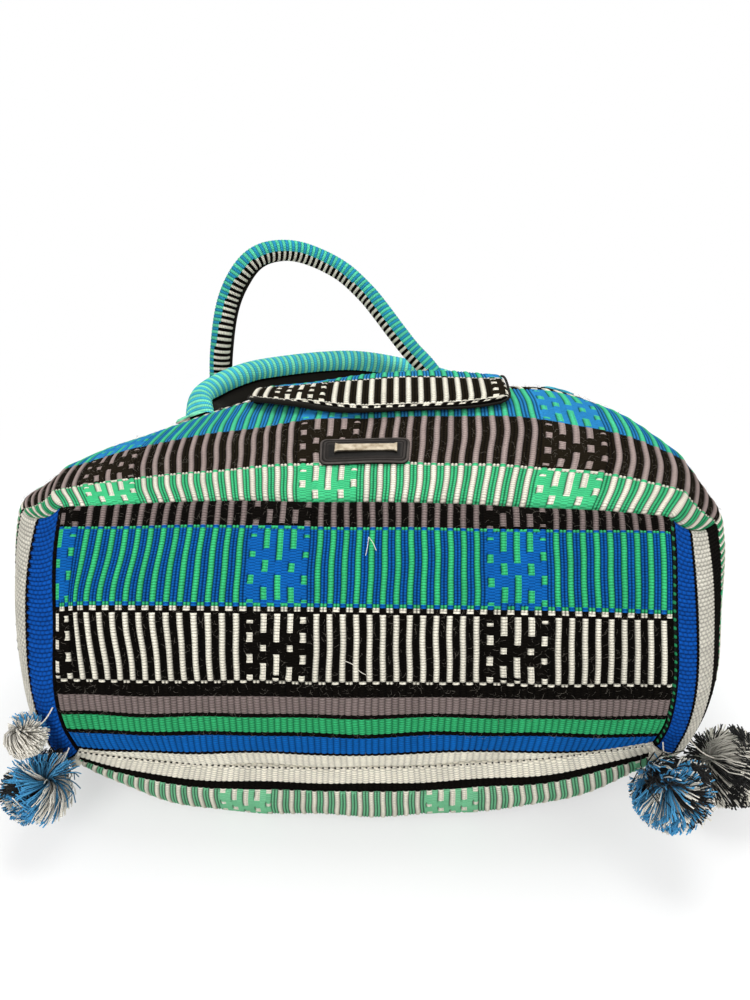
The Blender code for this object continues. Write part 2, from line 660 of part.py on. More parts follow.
def build_handle(name, panel, root_x, rows, route, home):
    """A rolled handle: round along its route, flattened where its two ends are sewn to the panel."""
    lift = RIB_HEIGHT + FIT_GAP + HANDLE_TONGUE_THICKNESS / 2
    left = tongue(panel, -1.0, root_x, rows, lift)
    right = tongue(panel, 1.0, root_x, rows, lift)
    points = [p for p, n in left] + [Vector(p) for p in route] + [p for p, n in reversed(right)]
    flat = len(rows)
    knots = span(len(points) - 1)
    bm = bmesh.new()
    rings = []
    stations = knots[:flat] + span(HANDLE_STATIONS, knots[flat], knots[-flat - 1]) + knots[-flat:]
    for k, t in enumerate(stations):
        here = route_point(points, t)
        ahead = route_point(points, min(1.0, t + 0.01)) - route_point(points, max(0.0, t - 0.01))
        ahead.normalize()
        end = min(k, len(stations) - 1 - k)
        round_share = smooth_step((end - flat + 1.5) / 3.0)
        root_normal = (left if t < 0.5 else right)[min(end, flat - 1)][1]
        wide = ahead.cross(root_normal).normalized()
        thick = wide.cross(ahead).normalized()
        a = mix(HANDLE_TONGUE_WIDTH / 2, HANDLE_RADIUS, round_share)
        b = mix(HANDLE_TONGUE_THICKNESS / 2, HANDLE_RADIUS, round_share)
        ring = []
        for i in range(HANDLE_SIDES):
            angle = 2 * math.pi * (i + 0.5) / HANDLE_SIDES
            ring.append(bm.verts.new(here + wide * a * math.cos(angle) + thick * b * math.sin(angle)))
        rings.append(ring)
    for low, high in zip(rings, rings[1:]):
        for i in range(HANDLE_SIDES):
            j = (i + 1) % HANDLE_SIDES
            bm.faces.new((low[i], low[j], high[j], high[i]))
    bm.faces.new(rings[0])
    bm.faces.new(rings[-1])
    return object_from(bm, name, "handle_cloth", home)


def build_pompom(name, centre, radius, place, home):
    """A thread pompom and the tie that holds it to the bag's corner.

    The pompom is a ball of tufts: its meridians and parallels stand in and out by turns, and its pole is where
    the tie comes in.
    """
    bm = bmesh.new()
    bmesh.ops.create_uvsphere(bm, u_segments=POMPOM_MERIDIANS, v_segments=POMPOM_PARALLELS, radius=radius)
    for vertex in bm.verts:
        turn = math.atan2(vertex.co.y, vertex.co.x) * POMPOM_MERIDIANS / 2
        rise = math.acos(max(-1.0, min(1.0, vertex.co.z / radius))) * POMPOM_PARALLELS
        pole = abs(vertex.co.z) > 0.999 * radius
        tuft = 0.0 if pole else 0.5 - 0.5 * math.cos(turn) * math.cos(rise)
        vertex.co *= 1.0 - POMPOM_TUFT * tuft
    side = -1.0 if name.startswith("left") else 1.0
    down, along = place
    stitch = gusset_surface(side, down, along)
    normal = surface_normal(lambda u, q: gusset_surface(side, u, q), down, along, (0.0, 1.0),
                            (0.0, GUSSET_LENGTH), BAG_HEART)
    centre = Vector(centre)
    towards = (stitch - centre).normalized()
    start = stitch + normal * (TIE_RADIUS * towards.cross(normal).length + FIT_GAP)
    towards = (start - centre).normalized()
    ball = object_from(bm, "pompom_" + name, "mixed_thread" if name == "right_outer" else "blue_thread", home)
    ball.location = centre
    ball.rotation_euler = towards.to_track_quat("Z", "Y").to_euler()
    end = centre + towards * (radius + FIT_GAP)
    tube("pompom_tie_" + name, [start, start.lerp(end, 0.5), end], TIE_RADIUS, "pale_thread", home)


def main():
    for obj in list(bpy.data.objects):
        bpy.data.objects.remove(obj)
    home = collection("woven_tote_bag")
    cage = Cage()
    for name, surface, knots, ribs, rows, cloth in PANELS:
        cage.add(name, surface, knots, rows)
    cage.close()
    for name, surface, knots, ribs, rows, cloth in PANELS:
        build_panel(cage, name, surface, knots, ribs, rows, cloth, home)
    build_lining(cage, home)
    build_flap(home)
    build_snap(home)
    build_label(home)
    build_handle("handle_front", front_surface, HANDLE_FRONT_ROOT_X, HANDLE_FRONT_ROOT_ROWS,
                 HANDLE_FRONT_ROUTE, home)
    build_handle("handle_back", back_surface, HANDLE_BACK_ROOT_X, HANDLE_BACK_ROOT_ROWS, HANDLE_BACK_ROUTE, home)
    for name, centre, radius, place in POMPOMS:
        build_pompom(name, centre, radius, place, home)
    cage.bm.free()


main()
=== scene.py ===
import contextlib
import functools
import math

import bmesh
import bpy
import numpy as np
from mathutils import Matrix, Vector


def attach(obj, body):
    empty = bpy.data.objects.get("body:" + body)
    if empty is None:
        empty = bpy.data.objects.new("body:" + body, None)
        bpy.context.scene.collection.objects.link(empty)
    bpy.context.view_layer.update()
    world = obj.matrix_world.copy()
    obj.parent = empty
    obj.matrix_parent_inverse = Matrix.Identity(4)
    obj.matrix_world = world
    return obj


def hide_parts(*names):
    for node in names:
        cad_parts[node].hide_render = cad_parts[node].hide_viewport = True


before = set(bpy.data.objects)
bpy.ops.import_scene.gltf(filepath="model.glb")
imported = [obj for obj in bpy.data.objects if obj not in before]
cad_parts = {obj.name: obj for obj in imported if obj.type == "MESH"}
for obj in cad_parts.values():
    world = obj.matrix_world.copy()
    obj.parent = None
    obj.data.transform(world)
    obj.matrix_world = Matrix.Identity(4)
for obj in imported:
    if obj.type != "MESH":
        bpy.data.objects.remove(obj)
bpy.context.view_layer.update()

# The bag's sizes in metres, as the source has them
CLOTH, RIB, FIT_GAP = 0.003, 0.0012, 0.0004
BASE_FRACTIONS = (0.0, 0.15, 0.34, 0.59, 0.83, 1.0)
BASE_MIDDLE = ((-0.164, 0.078), (-0.169, 0.108), (-0.166, 0.146), (-0.150, 0.193), (-0.117, 0.234),
               (-0.079, 0.267))
BASE_SIDE = ((-0.148, 0.082), (-0.153, 0.113), (-0.150, 0.151), (-0.133, 0.196), (-0.106, 0.233),
             (-0.079, 0.259))
BASE_HALF_WIDTHS = (0.227, 0.230, 0.229, 0.226, 0.227, 0.228)
BASE_TILT, SIDE_POWER = 0.013, 2.2
FRONT_FRACTIONS = (0.0, 0.14, 0.33, 0.52, 0.70, 0.85, 1.0)
FRONT_MIDDLE = ((-0.079, 0.267), (-0.040, 0.2840), (0.012, 0.3000), (0.065, 0.3040), (0.118, 0.2820),
                (0.160, 0.2520), (0.192, 0.2040))
FRONT_PEAK, FRONT_POWER_LEFT, FRONT_POWER_RIGHT, BACK_POWER = 0.32, 1.95, 3.2, 4.2
BACK_FRACTIONS = (0.0, 0.10, 0.20, 0.30, 0.66, 0.82, 1.0)
BACK_MIDDLE = ((-0.164, 0.078), (-0.167, 0.041), (-0.152, 0.009), (-0.122, 0.0), (0.008, 0.0),
               (0.055, 0.022), (0.094, 0.070))
GUSSET_LENGTH, GUSSET_START, WRAP = 0.330, math.radians(20.0), 0.040
GUSSET_RADII = (0.116, 0.085)
GUSSET_PULL, GUSSET_DROP, DROP_START = 0.030, (0.026, 0.034), 0.022
MOUTH_FRONT, MOUTH_BACK = np.array((0.275, 0.175, 0.172)), np.array((0.275, 0.095, 0.060))
CORNER_U = 0.228 / (0.228 + WRAP)
FLAP_CENTRE, FLAP_HALF, FLAP_CLOTH = 0.006, 0.109, 0.004
FLAP_LIFT, FLAP_TIP_LIFT, FLAP_LIFTED_FROM, FLAP_TIP = 0.006, 0.003, 0.38, 0.325
FLAP_REACH, FLAP_TURN, PIPING = 0.090, 0.060, 0.0026
FLAP_SLANT_LEFT, FLAP_SLANT_RIGHT = 0.130, 0.035
FLAP_ROUNDED_AT, FLAP_ROUNDED = (FLAP_TIP, 0.342, 0.38, 1.0), (0.94, 0.99, 1.0, 1.0)
LABEL_SIZE, LABEL_THICK, LABEL_CORNER, LABEL_ROW = (0.0697, 0.0278), 0.0018, 0.005, 0.158
BAR_SIZE, BAR_THICK, BAR_FLARE, BAR_RISE, BAR_ASIDE = (0.049, 0.0072), 0.0016, 0.0015, 0.0016, 0.0012
HANDLE_RADIUS, TONGUE_WIDE, TONGUE_THICK = 0.013, 0.034, 0.007
# Each handle: how far aside its roots are, their places along the panel, and its route
HANDLE_FRONT = (0.172, (0.64, 0.70, 0.76), (
    (-0.1815, 0.168, 0.2415), (-0.1700, 0.197, 0.2455), (-0.1465, 0.226, 0.2480), (-0.1185, 0.256, 0.2450),
    (-0.0660, 0.290, 0.2405), (-0.0221, 0.308, 0.2355), (0.0263, 0.318, 0.2246), (0.0750, 0.312, 0.2140),
    (0.1200, 0.282, 0.2100), (0.1550, 0.238, 0.2160), (0.1740, 0.195, 0.2250)))
HANDLE_BACK = (0.150, (0.82, 0.90, 0.98), (
    (-0.158, 0.148, 0.098), (-0.170, 0.205, 0.158), (-0.1792, 0.245, 0.2285), (-0.1755, 0.258, 0.278),
    (-0.1670, 0.273, 0.3183), (-0.1497, 0.283, 0.3490), (-0.1286, 0.293, 0.3642), (-0.1001, 0.305, 0.3657),
    (-0.0720, 0.312, 0.3572), (-0.0405, 0.312, 0.3408), (-0.0140, 0.304, 0.3190), (0.0025, 0.295, 0.3020),
    (0.0210, 0.284, 0.2810), (0.0380, 0.276, 0.2620), (0.0580, 0.268, 0.2430), (0.0800, 0.261, 0.2150),
    (0.1090, 0.248, 0.1760), (0.1380, 0.218, 0.1320), (0.1520, 0.166, 0.0900)))
# Each pompom: centre, radius, stitch on the gusset, the way its threads fall, yarn, number of threads
POMPOMS = (
    ("left_big", (-0.2515, -0.169, 0.0525), 0.0292, (0.95, 0.004), (-0.7, -0.3, -0.8), "blue_yarn", 2300),
    ("left_small", (-0.2576, -0.160, 0.0995), 0.0172, (0.75, 0.004), (-0.5, 0.0, -0.5), "pale_yarn", 1250),
    ("right_inner", (0.2374, -0.1725, 0.0728), 0.0306, (0.95, 0.004), (-0.2, -0.2, -0.9), "blue_yarn", 2300),
    ("right_outer", (0.3025, -0.120, 0.0420), 0.0330, (0.90, 0.030), (0.3, 0.0, -0.8), "mixed_yarn", 2300))
HEART = np.array((0.0, 0.0, 0.13))

# The weave
LIGHT_SHARE = 0.47          # of a pair of stripes, the part that the light stripe takes
PAIR_COLUMNS = (0.0, 0.09, 0.235, 0.38, 0.47, 0.6025, 0.735, 0.8675)
LIGHT_HEIGHT, DARK_HEIGHT = 0.0013, 0.0008
RIDGE_POWER, FLOAT_TOP = 0.6, 0.8    # how round a ridge is, and how high the motif's floating yarn lies
BEAD, GUSSET_BEAD = 0.0021, 0.0052   # one weft bead, along a stripe
ROW_STEP, BACK_STEP, GUSSET_STEP = 0.0022, 0.0040, 0.0034
DRAWN, BAND_WANDER, YARN_SHADE, LAST_BAND = 400, 0.45, 0.07, 60
INTO_PAIR = 1e-4            # points are read just inside their stripe
MOTIF_REPEAT, MOTIF_REACH = 18, 2
# The check motif, five stripes wide: the light cells in each stripe, from the band's top edge to its bottom
MOTIF_CELLS = {0: ((0.0, 0.44), (0.62, 0.975)),
               1: ((0.0, 0.285), (0.455, 0.585), (0.78, 0.975)),
               2: ((0.07, 0.12), (0.30, 0.415), (0.62, 0.74), (0.94, 0.985))}


def linear(code):
    """A colour written as six hex digits, as the linear values that Blender works in."""
    parts = [int(code[i:i + 2], 16) / 255 for i in (0, 2, 4)]
    return tuple(c / 12.92 if c <= 0.04045 else ((c + 0.055) / 1.055) ** 2.4 for c in parts)


# The copies of mauve, black, green and blue that the cycle and the flap use, and of mint and teal on the front
# handle, are painted light: the same yarns made paler where more light falls
YARN = {name: linear(code) for name, code in {
    "cream": "DDD8C8", "black": "080604", "green": "35B272", "leaf": "43BE80", "blue": "0C5AA6",
    "royal": "0A4CA2", "mauve": "7A6D6A", "teal": "2A8FB4", "mint": "58C8A0", "ink": "14201C",
    "pine": "23794F", "linen": "C9C5B9", "lit_mauve": "9A8A85", "lit_blue": "2B82BE", "lit_green": "46BC8C",
    "grass": "30A165", "sage": "76C092", "lit_mint": "80DEB4", "lit_teal": "3EB0CC", "lit_black": "1C170E"}.items()}


def plain(place, yarn):
    """A band of one yarn."""
    return place, "plain", yarn, yarn


# Each band of the cycle: its width in millimetres, what it is, its light yarn and its dark yarn
# Its motifs take the paler copies of mauve, black, green and blue: painted light
CYCLE_DOWN = ((54, "motif", "lit_mauve", "lit_black"), (58, "motif", "lit_green", "lit_blue"), (50, "motif", "cream", "lit_black"),
              plain(8, "black"), plain(14, "mauve"), plain(4, "black"), plain(14, "grass"), plain(3, "black"),
              plain(17, "blue"), plain(3, "black"), plain(20, "cream"), plain(8, "black"),
              (58, "motif", "cream", "leaf"))


def cycle_from(start):
    """The cloth's cycle of bands, laid on twice from a place."""
    bands = []
    for width, kind, light, dark in CYCLE_DOWN * 2:
        bands.append((start, kind, light, dark))
        start += width
    return tuple(bands)


# Each panel's bands: where each starts, in millimetres from the seam, what it is (plain, stripes, checks
# or the check motif), its light yarn and its dark yarn
BASE_BANDS = (plain(-9, "cream"), plain(20, "black"), plain(23, "blue"), plain(40, "black"),
              plain(44, "grass"), plain(57.5, "black"), plain(61, "mauve"), plain(75, "black"),
              (85.4, "checks", "cream", "black"), (87.6, "stripes", "cream", "black"),
              (89.8, "motif", "cream", "black"), plain(136.4, "black"), (138.0, "checks", "cream", "black"),
              (141.2, "checks", "green", "blue"), (144, "motif", "green", "blue"),
              (198.2, "checks", "green", "blue"), (200.5, "motif", "mauve", "black"), plain(258, "black"))
FRONT_BANDS = ((-21.5, "motif", "cream", "leaf"), (34, "checks", "cream", "leaf")) + cycle_from(36.5)
BACK_BANDS = (plain(-9, "cream"), plain(15, "black"), (23, "motif", "cream", "sage")) + cycle_from(81)
GUSSET_BANDS = {
    "left": (plain(-9, "black"), plain(2.2, "royal"), (30, "checks", "black", "royal"), plain(32, "black"),
             plain(35, "linen"), plain(75, "black"), (80, "motif", "cream", "leaf")) + cycle_from(132),
    "right": (plain(-9, "black"), (0.8, "checks", "ink", "pine"), plain(2.2, "black"), plain(3.8, "royal"),
              plain(22, "black"), plain(25.5, "linen"), plain(50, "black"),
              (74, "motif", "cream", "leaf")) + cycle_from(132)}
# The flap's motifs take the paler copies of black, green and blue: painted light
FLAP_BANDS = (plain(-9, "black"), (1.6, "checks", "cream", "black"), plain(3.6, "black"),
              plain(4.4, "cream"), (5.6, "motif", "cream", "lit_black"), (43, "checks", "cream", "lit_black"),
              (45.5, "motif", "lit_green", "lit_blue"), (108, "motif", "mauve", "black"),
              (166, "motif", "cream", "leaf"), (224, "motif", "mauve", "black"),
              (282, "motif", "green", "blue"), (340, "motif", "cream", "black"), plain(400, "black"))


def weave(pair, run, bands, motif_at, chance):
    """Each place's yarn colour, and how its ridge is: raised for a light stripe, split where a dark stripe is
    in two, flat in the motif's ground, where the dark yarn floats over the stripes."""
    stripe = np.floor(pair).astype(int)
    part = pair - stripe
    light = part < LIGHT_SHARE
    aside = chance.uniform(-BAND_WANDER, BAND_WANDER, DRAWN)[stripe % DRAWN]
    shade = 1 + chance.uniform(-YARN_SHADE, YARN_SHADE, DRAWN)[(2 * stripe + light) % DRAWN]
    place = run * 1000 + aside
    starts = np.array([b[0] for b in bands])
    which = np.clip(np.searchsorted(starts, place, side="right") - 1, 0, len(bands) - 1)
    ends = np.append(starts[1:], starts[-1] + LAST_BAND)
    down = (ends[which] - place) / (ends[which] - starts[which])
    kinds = np.array([b[1] for b in bands])[which]
    column_side = (stripe - motif_at + MOTIF_REPEAT // 2) % MOTIF_REPEAT - MOTIF_REPEAT // 2
    column = np.abs(column_side)
    cell = np.ones(pair.shape, bool)
    for k, cells in MOTIF_CELLS.items():
        inside = np.zeros(pair.shape, bool)
        for low, high in cells:
            inside |= (down >= low) & (down <= high)
        cell = np.where(column == k, inside, cell)
    within = part < np.where(column_side == MOTIF_REACH, LIGHT_SHARE, 1.0)
    inside = (kinds == "motif") & (column <= MOTIF_REACH) & within
    light = np.where(kinds == "checks", ~light, light)
    light = np.where(kinds == "motif", light & cell, light)
    lights = np.array([YARN[b[2]] for b in bands])[which]
    darks = np.array([YARN[b[3]] for b in bands])[which]
    colour = np.where(light[..., None], lights, darks) * shade[..., None]
    flat, one_yarn = inside & ~light, kinds == "plain"
    return colour, {"raised": np.where((light | flat) & ~one_yarn, 1.0, 0.0),
                    "split": np.where(one_yarn | flat, 1.0, 2.0), "flat": flat * 1.0}


# The surfaces that the panels follow
def smooth(t):
    t = np.clip(t, 0, 1)
    return t * t * (3 - 2 * t)


def along_knots(knots, values, t):
    """A smooth line through values at knots, read at t."""
    knots, values = np.asarray(knots, float), np.asarray(values, float)
    values = values.reshape(len(knots), -1)
    last = len(knots) - 1
    t = np.clip(t, knots[0], knots[-1])
    i = np.clip(np.searchsorted(knots, t, side="right") - 1, 0, last - 1)
    low, high = np.clip(np.arange(last + 1) - 1, 0, last), np.clip(np.arange(last + 1) + 1, 0, last)
    slope = (values[high] - values[low]) / (knots[high] - knots[low])[:, None]
    step = (knots[i + 1] - knots[i])[..., None]
    s = (t - knots[i])[..., None] / step
    return ((2 * s ** 3 - 3 * s ** 2 + 1) * values[i] + (s ** 3 - 2 * s ** 2 + s) * step * slope[i]
            + (3 * s ** 2 - 2 * s ** 3) * values[i + 1] + (s ** 3 - s ** 2) * step * slope[i + 1])


def base_at(across, up):
    """The base, from its seam with the back (up 0) to its seam with the front (up 1)."""
    across, up = np.broadcast_arrays(np.asarray(across, float), np.asarray(up, float))
    k = (np.abs(across) ** SIDE_POWER)[..., None]
    middle, side = (along_knots(BASE_FRACTIONS, line, up) for line in (BASE_MIDDLE, BASE_SIDE))
    yz = middle * (1 - k) + side * k
    x = across * along_knots(BASE_FRACTIONS, BASE_HALF_WIDTHS, up)[..., 0]
    z = yz[..., 1] + BASE_TILT * across * (1 - up) ** 1.5
    return np.stack([x, yz[..., 0], z], -1)


def gusset_at(side, down, along):
    """A gusset, from its seam with the front (down 0) to the back (down 1), and along it from the base."""
    side, down, along = np.broadcast_arrays(*(np.asarray(v, float) for v in (side, down, along)))
    start = base_at(side, 1 - down)
    radius = GUSSET_RADII[0] + (GUSSET_RADII[1] - GUSSET_RADII[0]) * down
    bend = radius * (math.pi / 2 - GUSSET_START)
    angle = GUSSET_START + np.minimum(along, bend) / radius
    x = np.abs(start[..., 0]) + radius * (np.sin(angle) - math.sin(GUSSET_START))
    y = start[..., 1] + radius * (math.cos(GUSSET_START) - np.cos(angle))
    mouth = MOUTH_FRONT + (MOUTH_BACK - MOUTH_FRONT) * down[..., None]
    mouth_x = mouth[..., 0] - GUSSET_PULL * np.sin(math.pi * down)
    share = np.clip(along - bend, 0, None) / (GUSSET_LENGTH - bend)
    drop = (1 - np.exp(-along / DROP_START)) * (GUSSET_DROP[0] * (1 - down) ** 2 + GUSSET_DROP[1] * down ** 2)
    z = start[..., 2] - drop
    k = smooth(along / GUSSET_LENGTH)
    return np.stack([side * (x + (mouth_x - x) * smooth(share)), y + (mouth[..., 1] - y) * share,
                     z + (mouth[..., 2] - z) * k], -1)


def panel_at(across, t, front):
    """The front or the back panel, from its seam with the base (t 0) to the mouth (t 1)."""
    across, t = np.broadcast_arrays(np.asarray(across, float), np.asarray(t, float))
    side = np.where(across < 0, -1.0, 1.0)
    down = 0.0 if front else 1.0
    fractions, middle = (FRONT_FRACTIONS, FRONT_MIDDLE) if front else (BACK_FRACTIONS, BACK_MIDDLE)
    if front:
        fall = np.where(across < FRONT_PEAK,
                        (np.clip(FRONT_PEAK - across, 0, None) / (1 + FRONT_PEAK)) ** FRONT_POWER_LEFT,
                        (np.clip(across - FRONT_PEAK, 0, None) / (1 - FRONT_PEAK)) ** FRONT_POWER_RIGHT)
    else:
        fall = np.abs(across) ** BACK_POWER
    fall = fall[..., None]

    def ruled(s):
        s = np.broadcast_to(np.asarray(s, float), across.shape)
        edge = gusset_at(side, down, WRAP + s * (GUSSET_LENGTH - WRAP))
        yz = along_knots(fractions, middle, s) * (1 - fall) + edge[..., 1:] * fall
        return np.concatenate([(np.abs(across) * edge[..., 0])[..., None], yz], -1)

    past_corner = np.clip(WRAP * (np.abs(across) - CORNER_U) / (1 - CORNER_U), 0, None)
    seam = np.where((np.abs(across) <= CORNER_U)[..., None],
                    base_at(np.clip(across / CORNER_U, -1, 1), np.full(across.shape, 1.0 - down)),
                    gusset_at(side, down, past_corner))
    corner = gusset_at(side, down, GUSSET_LENGTH)
    k = (np.abs(across) ** SIDE_POWER)[..., None]
    mouth_yz = along_knots(fractions, middle, np.ones(across.shape)) * (1 - k) + corner[..., 1:] * k
    mouth = np.concatenate([(np.abs(corner[..., 0]) * across)[..., None], mouth_yz], -1)
    t = t[..., None]
    point = ruled(t[..., 0]) + (seam - ruled(0.0)) * (1 - t) + (mouth - ruled(1.0)) * t
    point[..., 2] = np.maximum(point[..., 2], 0.0)
    return point


def front_at(across, t):
    return panel_at(across, t, True)


def back_at(across, t):
    return panel_at(across, t, False)


def unit(v):
    return v / np.maximum(np.linalg.norm(v, axis=-1, keepdims=True), 1e-12)


def outward(surface, a, b):
    """The surface's normal at (a, b), away from the middle of the bag."""
    step = 1e-3
    normal = unit(np.cross(surface(a + step, b) - surface(a - step, b),
                           surface(a, b + step) - surface(a, b - step)))
    away = np.sum(normal * (surface(a, b) - HEART), -1, keepdims=True)
    return np.where(away < 0, -normal, normal)


def across_front(x, t):
    return x / front_at(1.0, t)[..., 0]


def flap_at(share, q):
    """The flap's under side and its normal: q 0 is its root, 1 the front mouth edge, 2 its tip."""
    share, q = np.broadcast_arrays(np.asarray(share, float), np.asarray(q, float))
    t = 1 - np.clip(q - 1, 0, 1) * (1 - FLAP_TIP)
    width = along_knots(FLAP_ROUNDED_AT, FLAP_ROUNDED, t)[..., 0]
    x = FLAP_CENTRE + share * width * FLAP_HALF
    # over the mouth
    across = x / back_at(1.0, 1.0)[0]
    edge, before = back_at(across, 1.0), back_at(across, 0.97)
    ahead = unit(edge - before)
    root = edge + ahead * FIT_GAP - outward(back_at, across, 0.999) * CLOTH
    u = across_front(x, 1.0)
    crest = front_at(u, 1.0) + outward(front_at, u, 0.999) * FLAP_LIFT
    turn = unit(front_at(u, 1.0) - front_at(u, 0.97))
    a, b = root + ahead * FLAP_REACH, crest + turn * FLAP_TURN
    s = np.clip(q, 0, 1)[..., None]
    r = 1 - s
    over = root * r ** 3 + a * 3 * s * r ** 2 + b * 3 * s ** 2 * r + crest * s ** 3
    slope = (a - root) * r ** 2 + (b - a) * 2 * s * r + (crest - b) * s ** 2
    over_normal = unit(np.stack([0 * x, slope[..., 2], -slope[..., 1]], -1))
    over = np.stack([x, over[..., 1], over[..., 2]], -1)
    # down the front
    slant = FLAP_SLANT_LEFT * np.minimum(0, share) ** 2 + FLAP_SLANT_RIGHT * np.maximum(0, share) ** 4
    t = t + slant * smooth((1 - t) / (1 - FLAP_LIFTED_FROM))
    u = across_front(x, t)
    normal = outward(front_at, u, np.minimum(t, 0.999))
    lifted = smooth((t - FLAP_TIP) / (FLAP_LIFTED_FROM - FLAP_TIP))
    lift = FLAP_TIP_LIFT + (FLAP_LIFT - FLAP_TIP_LIFT) * lifted
    lying = front_at(u, t) + normal * lift[..., None]
    front = (q > 1)[..., None]
    return np.where(front, lying, over), np.where(front, normal, over_normal)


def sway(points):
    """The slight unevenness of soft cloth, the same for every piece at one place."""
    x, y, z = points[..., 0], points[..., 1], points[..., 2]
    push = (np.sin(41 * x + 9 * z + 0.6) * np.sin(37 * y + 1.9) + 0.7 * np.sin(73 * x - 31 * y + 2.1)
            * np.sin(59 * z + 0.4) + 0.5 * np.sin(23 * x + 5.0) * np.sin(83 * y - 61 * z))
    return push[..., None] * 0.0011


# Node trees
def grow(tree, kind, *feeds, at=None, **settings):
    """Adds a node. Feeds fill its inputs in order, or by place or name with at: sockets are joined, values
    are set."""
    node = tree.nodes.new(kind)
    for key, value in settings.items():
        setattr(node, key, value)
    for place, feed in list(enumerate(feeds)) + list((at or {}).items()):
        if isinstance(feed, bpy.types.NodeSocket):
            tree.links.new(feed, node.inputs[place])
        elif feed is not None:
            node.inputs[place].default_value = feed
    return node


def calc(tree, operation, *feeds):
    return grow(tree, "ShaderNodeMath", *feeds, operation=operation).outputs[0]


def vector(tree, operation, *feeds):
    return grow(tree, "ShaderNodeVectorMath", *feeds, operation=operation).outputs[0]


def measured(tree, operation, *feeds):
    """A number read off vectors, such as a length."""
    return grow(tree, "ShaderNodeVectorMath", *feeds, operation=operation).outputs["Value"]


def times(tree, value, factor):
    """A vector or a colour times a number."""
    return grow(tree, "ShaderNodeVectorMath", value, at={3: factor}, operation="SCALE").outputs[0]


def mix(tree, share, low, high):
    return grow(tree, "ShaderNodeMix", at={0: share, 2: low, 3: high}).outputs[0]


def mix_colour(tree, share, under, over):
    return grow(tree, "ShaderNodeMix", data_type="RGBA", at={0: share, 6: under, 7: over}).outputs[2]


def scaled(tree, value, low, high):
    """Spreads a value that runs from 0 to 1 over low to high."""
    return calc(tree, "MULTIPLY_ADD", value, high - low, low)


def arch(tree, value):
    """One round hump for each whole number that the value passes."""
    return calc(tree, "ABSOLUTE", calc(tree, "SINE", calc(tree, "MULTIPLY", value, math.pi)))


def new_tree(name, inputs):
    """A Geometry Nodes tree that takes geometry and the named inputs; gives back it and its inputs."""
    tree = bpy.data.node_groups.new(name, "GeometryNodeTree")
    tree.interface.new_socket("Geometry", in_out="INPUT", socket_type="NodeSocketGeometry")
    for label, kind, value in inputs:
        socket = tree.interface.new_socket(label, in_out="INPUT", socket_type="NodeSocket" + kind)
        if value is not None:
            socket.default_value = value
    tree.interface.new_socket("Geometry", in_out="OUTPUT", socket_type="NodeSocketGeometry")
    return tree, grow(tree, "NodeGroupInput").outputs


def close_tree(tree, geometry, finish):
    real = grow(tree, "GeometryNodeRealizeInstances", geometry)
    finished = grow(tree, "GeometryNodeSetMaterial", real.outputs[0], at={2: finish})
    grow(tree, "NodeGroupOutput", finished.outputs[0])
    return tree


def stored(tree, name, data_type="FLOAT"):
    return grow(tree, "GeometryNodeInputNamedAttribute", name, data_type=data_type).outputs[0]


def store(tree, geometry, name, value, domain="POINT", data_type="FLOAT"):
    return grow(tree, "GeometryNodeStoreNamedAttribute", geometry, at={"Name": name, "Value": value},
                data_type=data_type, domain=domain).outputs[0]


def by_chance(tree, low, high):
    return grow(tree, "FunctionNodeRandomValue", data_type="FLOAT", at={2: low, 3: high}).outputs[1]


def scattered(tree, given, density):
    """Points strewn over the given faces."""
    return grow(tree, "GeometryNodeDistributePointsOnFaces", given["Geometry"],
                at={"Density": density, "Seed": given["Seed"]})


def planted(tree, points, thing, turn, size):
    return grow(tree, "GeometryNodeInstanceOnPoints", points,
                at={"Instance": thing, "Rotation": turn, "Scale": size}).outputs[0]


def three_sided(tree, radius):
    return grow(tree, "GeometryNodeCurvePrimitiveCircle", 3, at={"Radius": radius}).outputs[0]


def swept(tree, curve, ring):
    return grow(tree, "GeometryNodeCurveToMesh", curve, ring).outputs[0]


def ridge_tree():
    """Raises ridges out of a smooth panel: one under each light stripe, two under each dark one."""
    tree, given = new_tree("woven_ridges", (
        ("Light Height", "Float", LIGHT_HEIGHT), ("Dark Height", "Float", DARK_HEIGHT),
        ("Light Share", "Float", LIGHT_SHARE), ("Finish", "Material", None)))
    low, high, share = given["Dark Height"], given["Light Height"], given["Light Share"]
    closed = grow(tree, "GeometryNodeMergeByDistance", given["Geometry"], at={"Distance": 2e-6})
    part, flat = calc(tree, "FRACT", stored(tree, "pair")), stored(tree, "flat")
    is_light = calc(tree, "LESS_THAN", part, share)
    on_light = calc(tree, "DIVIDE", part, share)
    rest = calc(tree, "DIVIDE", calc(tree, "SUBTRACT", part, share), calc(tree, "SUBTRACT", 1.0, share))
    on_dark = calc(tree, "MULTIPLY", rest, stored(tree, "split"))
    wave = arch(tree, mix(tree, is_light, on_dark, on_light))
    round_top = mix(tree, flat, calc(tree, "POWER", wave, RIDGE_POWER), FLOAT_TOP)
    light_height = mix(tree, stored(tree, "raised"), low, high)
    height = mix(tree, is_light, mix(tree, flat, low, high), light_height)
    lift = calc(tree, "MULTIPLY", calc(tree, "MULTIPLY", height, round_top), stored(tree, "ridge"))
    offset = times(tree, grow(tree, "GeometryNodeInputNormal").outputs[0], lift)
    moved = grow(tree, "GeometryNodeSetPosition", closed.outputs[0], at={"Offset": offset})
    # the ridges' profile is kept as crest, which the woven finish reads for its painted groove shade
    return close_tree(tree, store(tree, moved.outputs[0], "crest", round_top), given["Finish"])


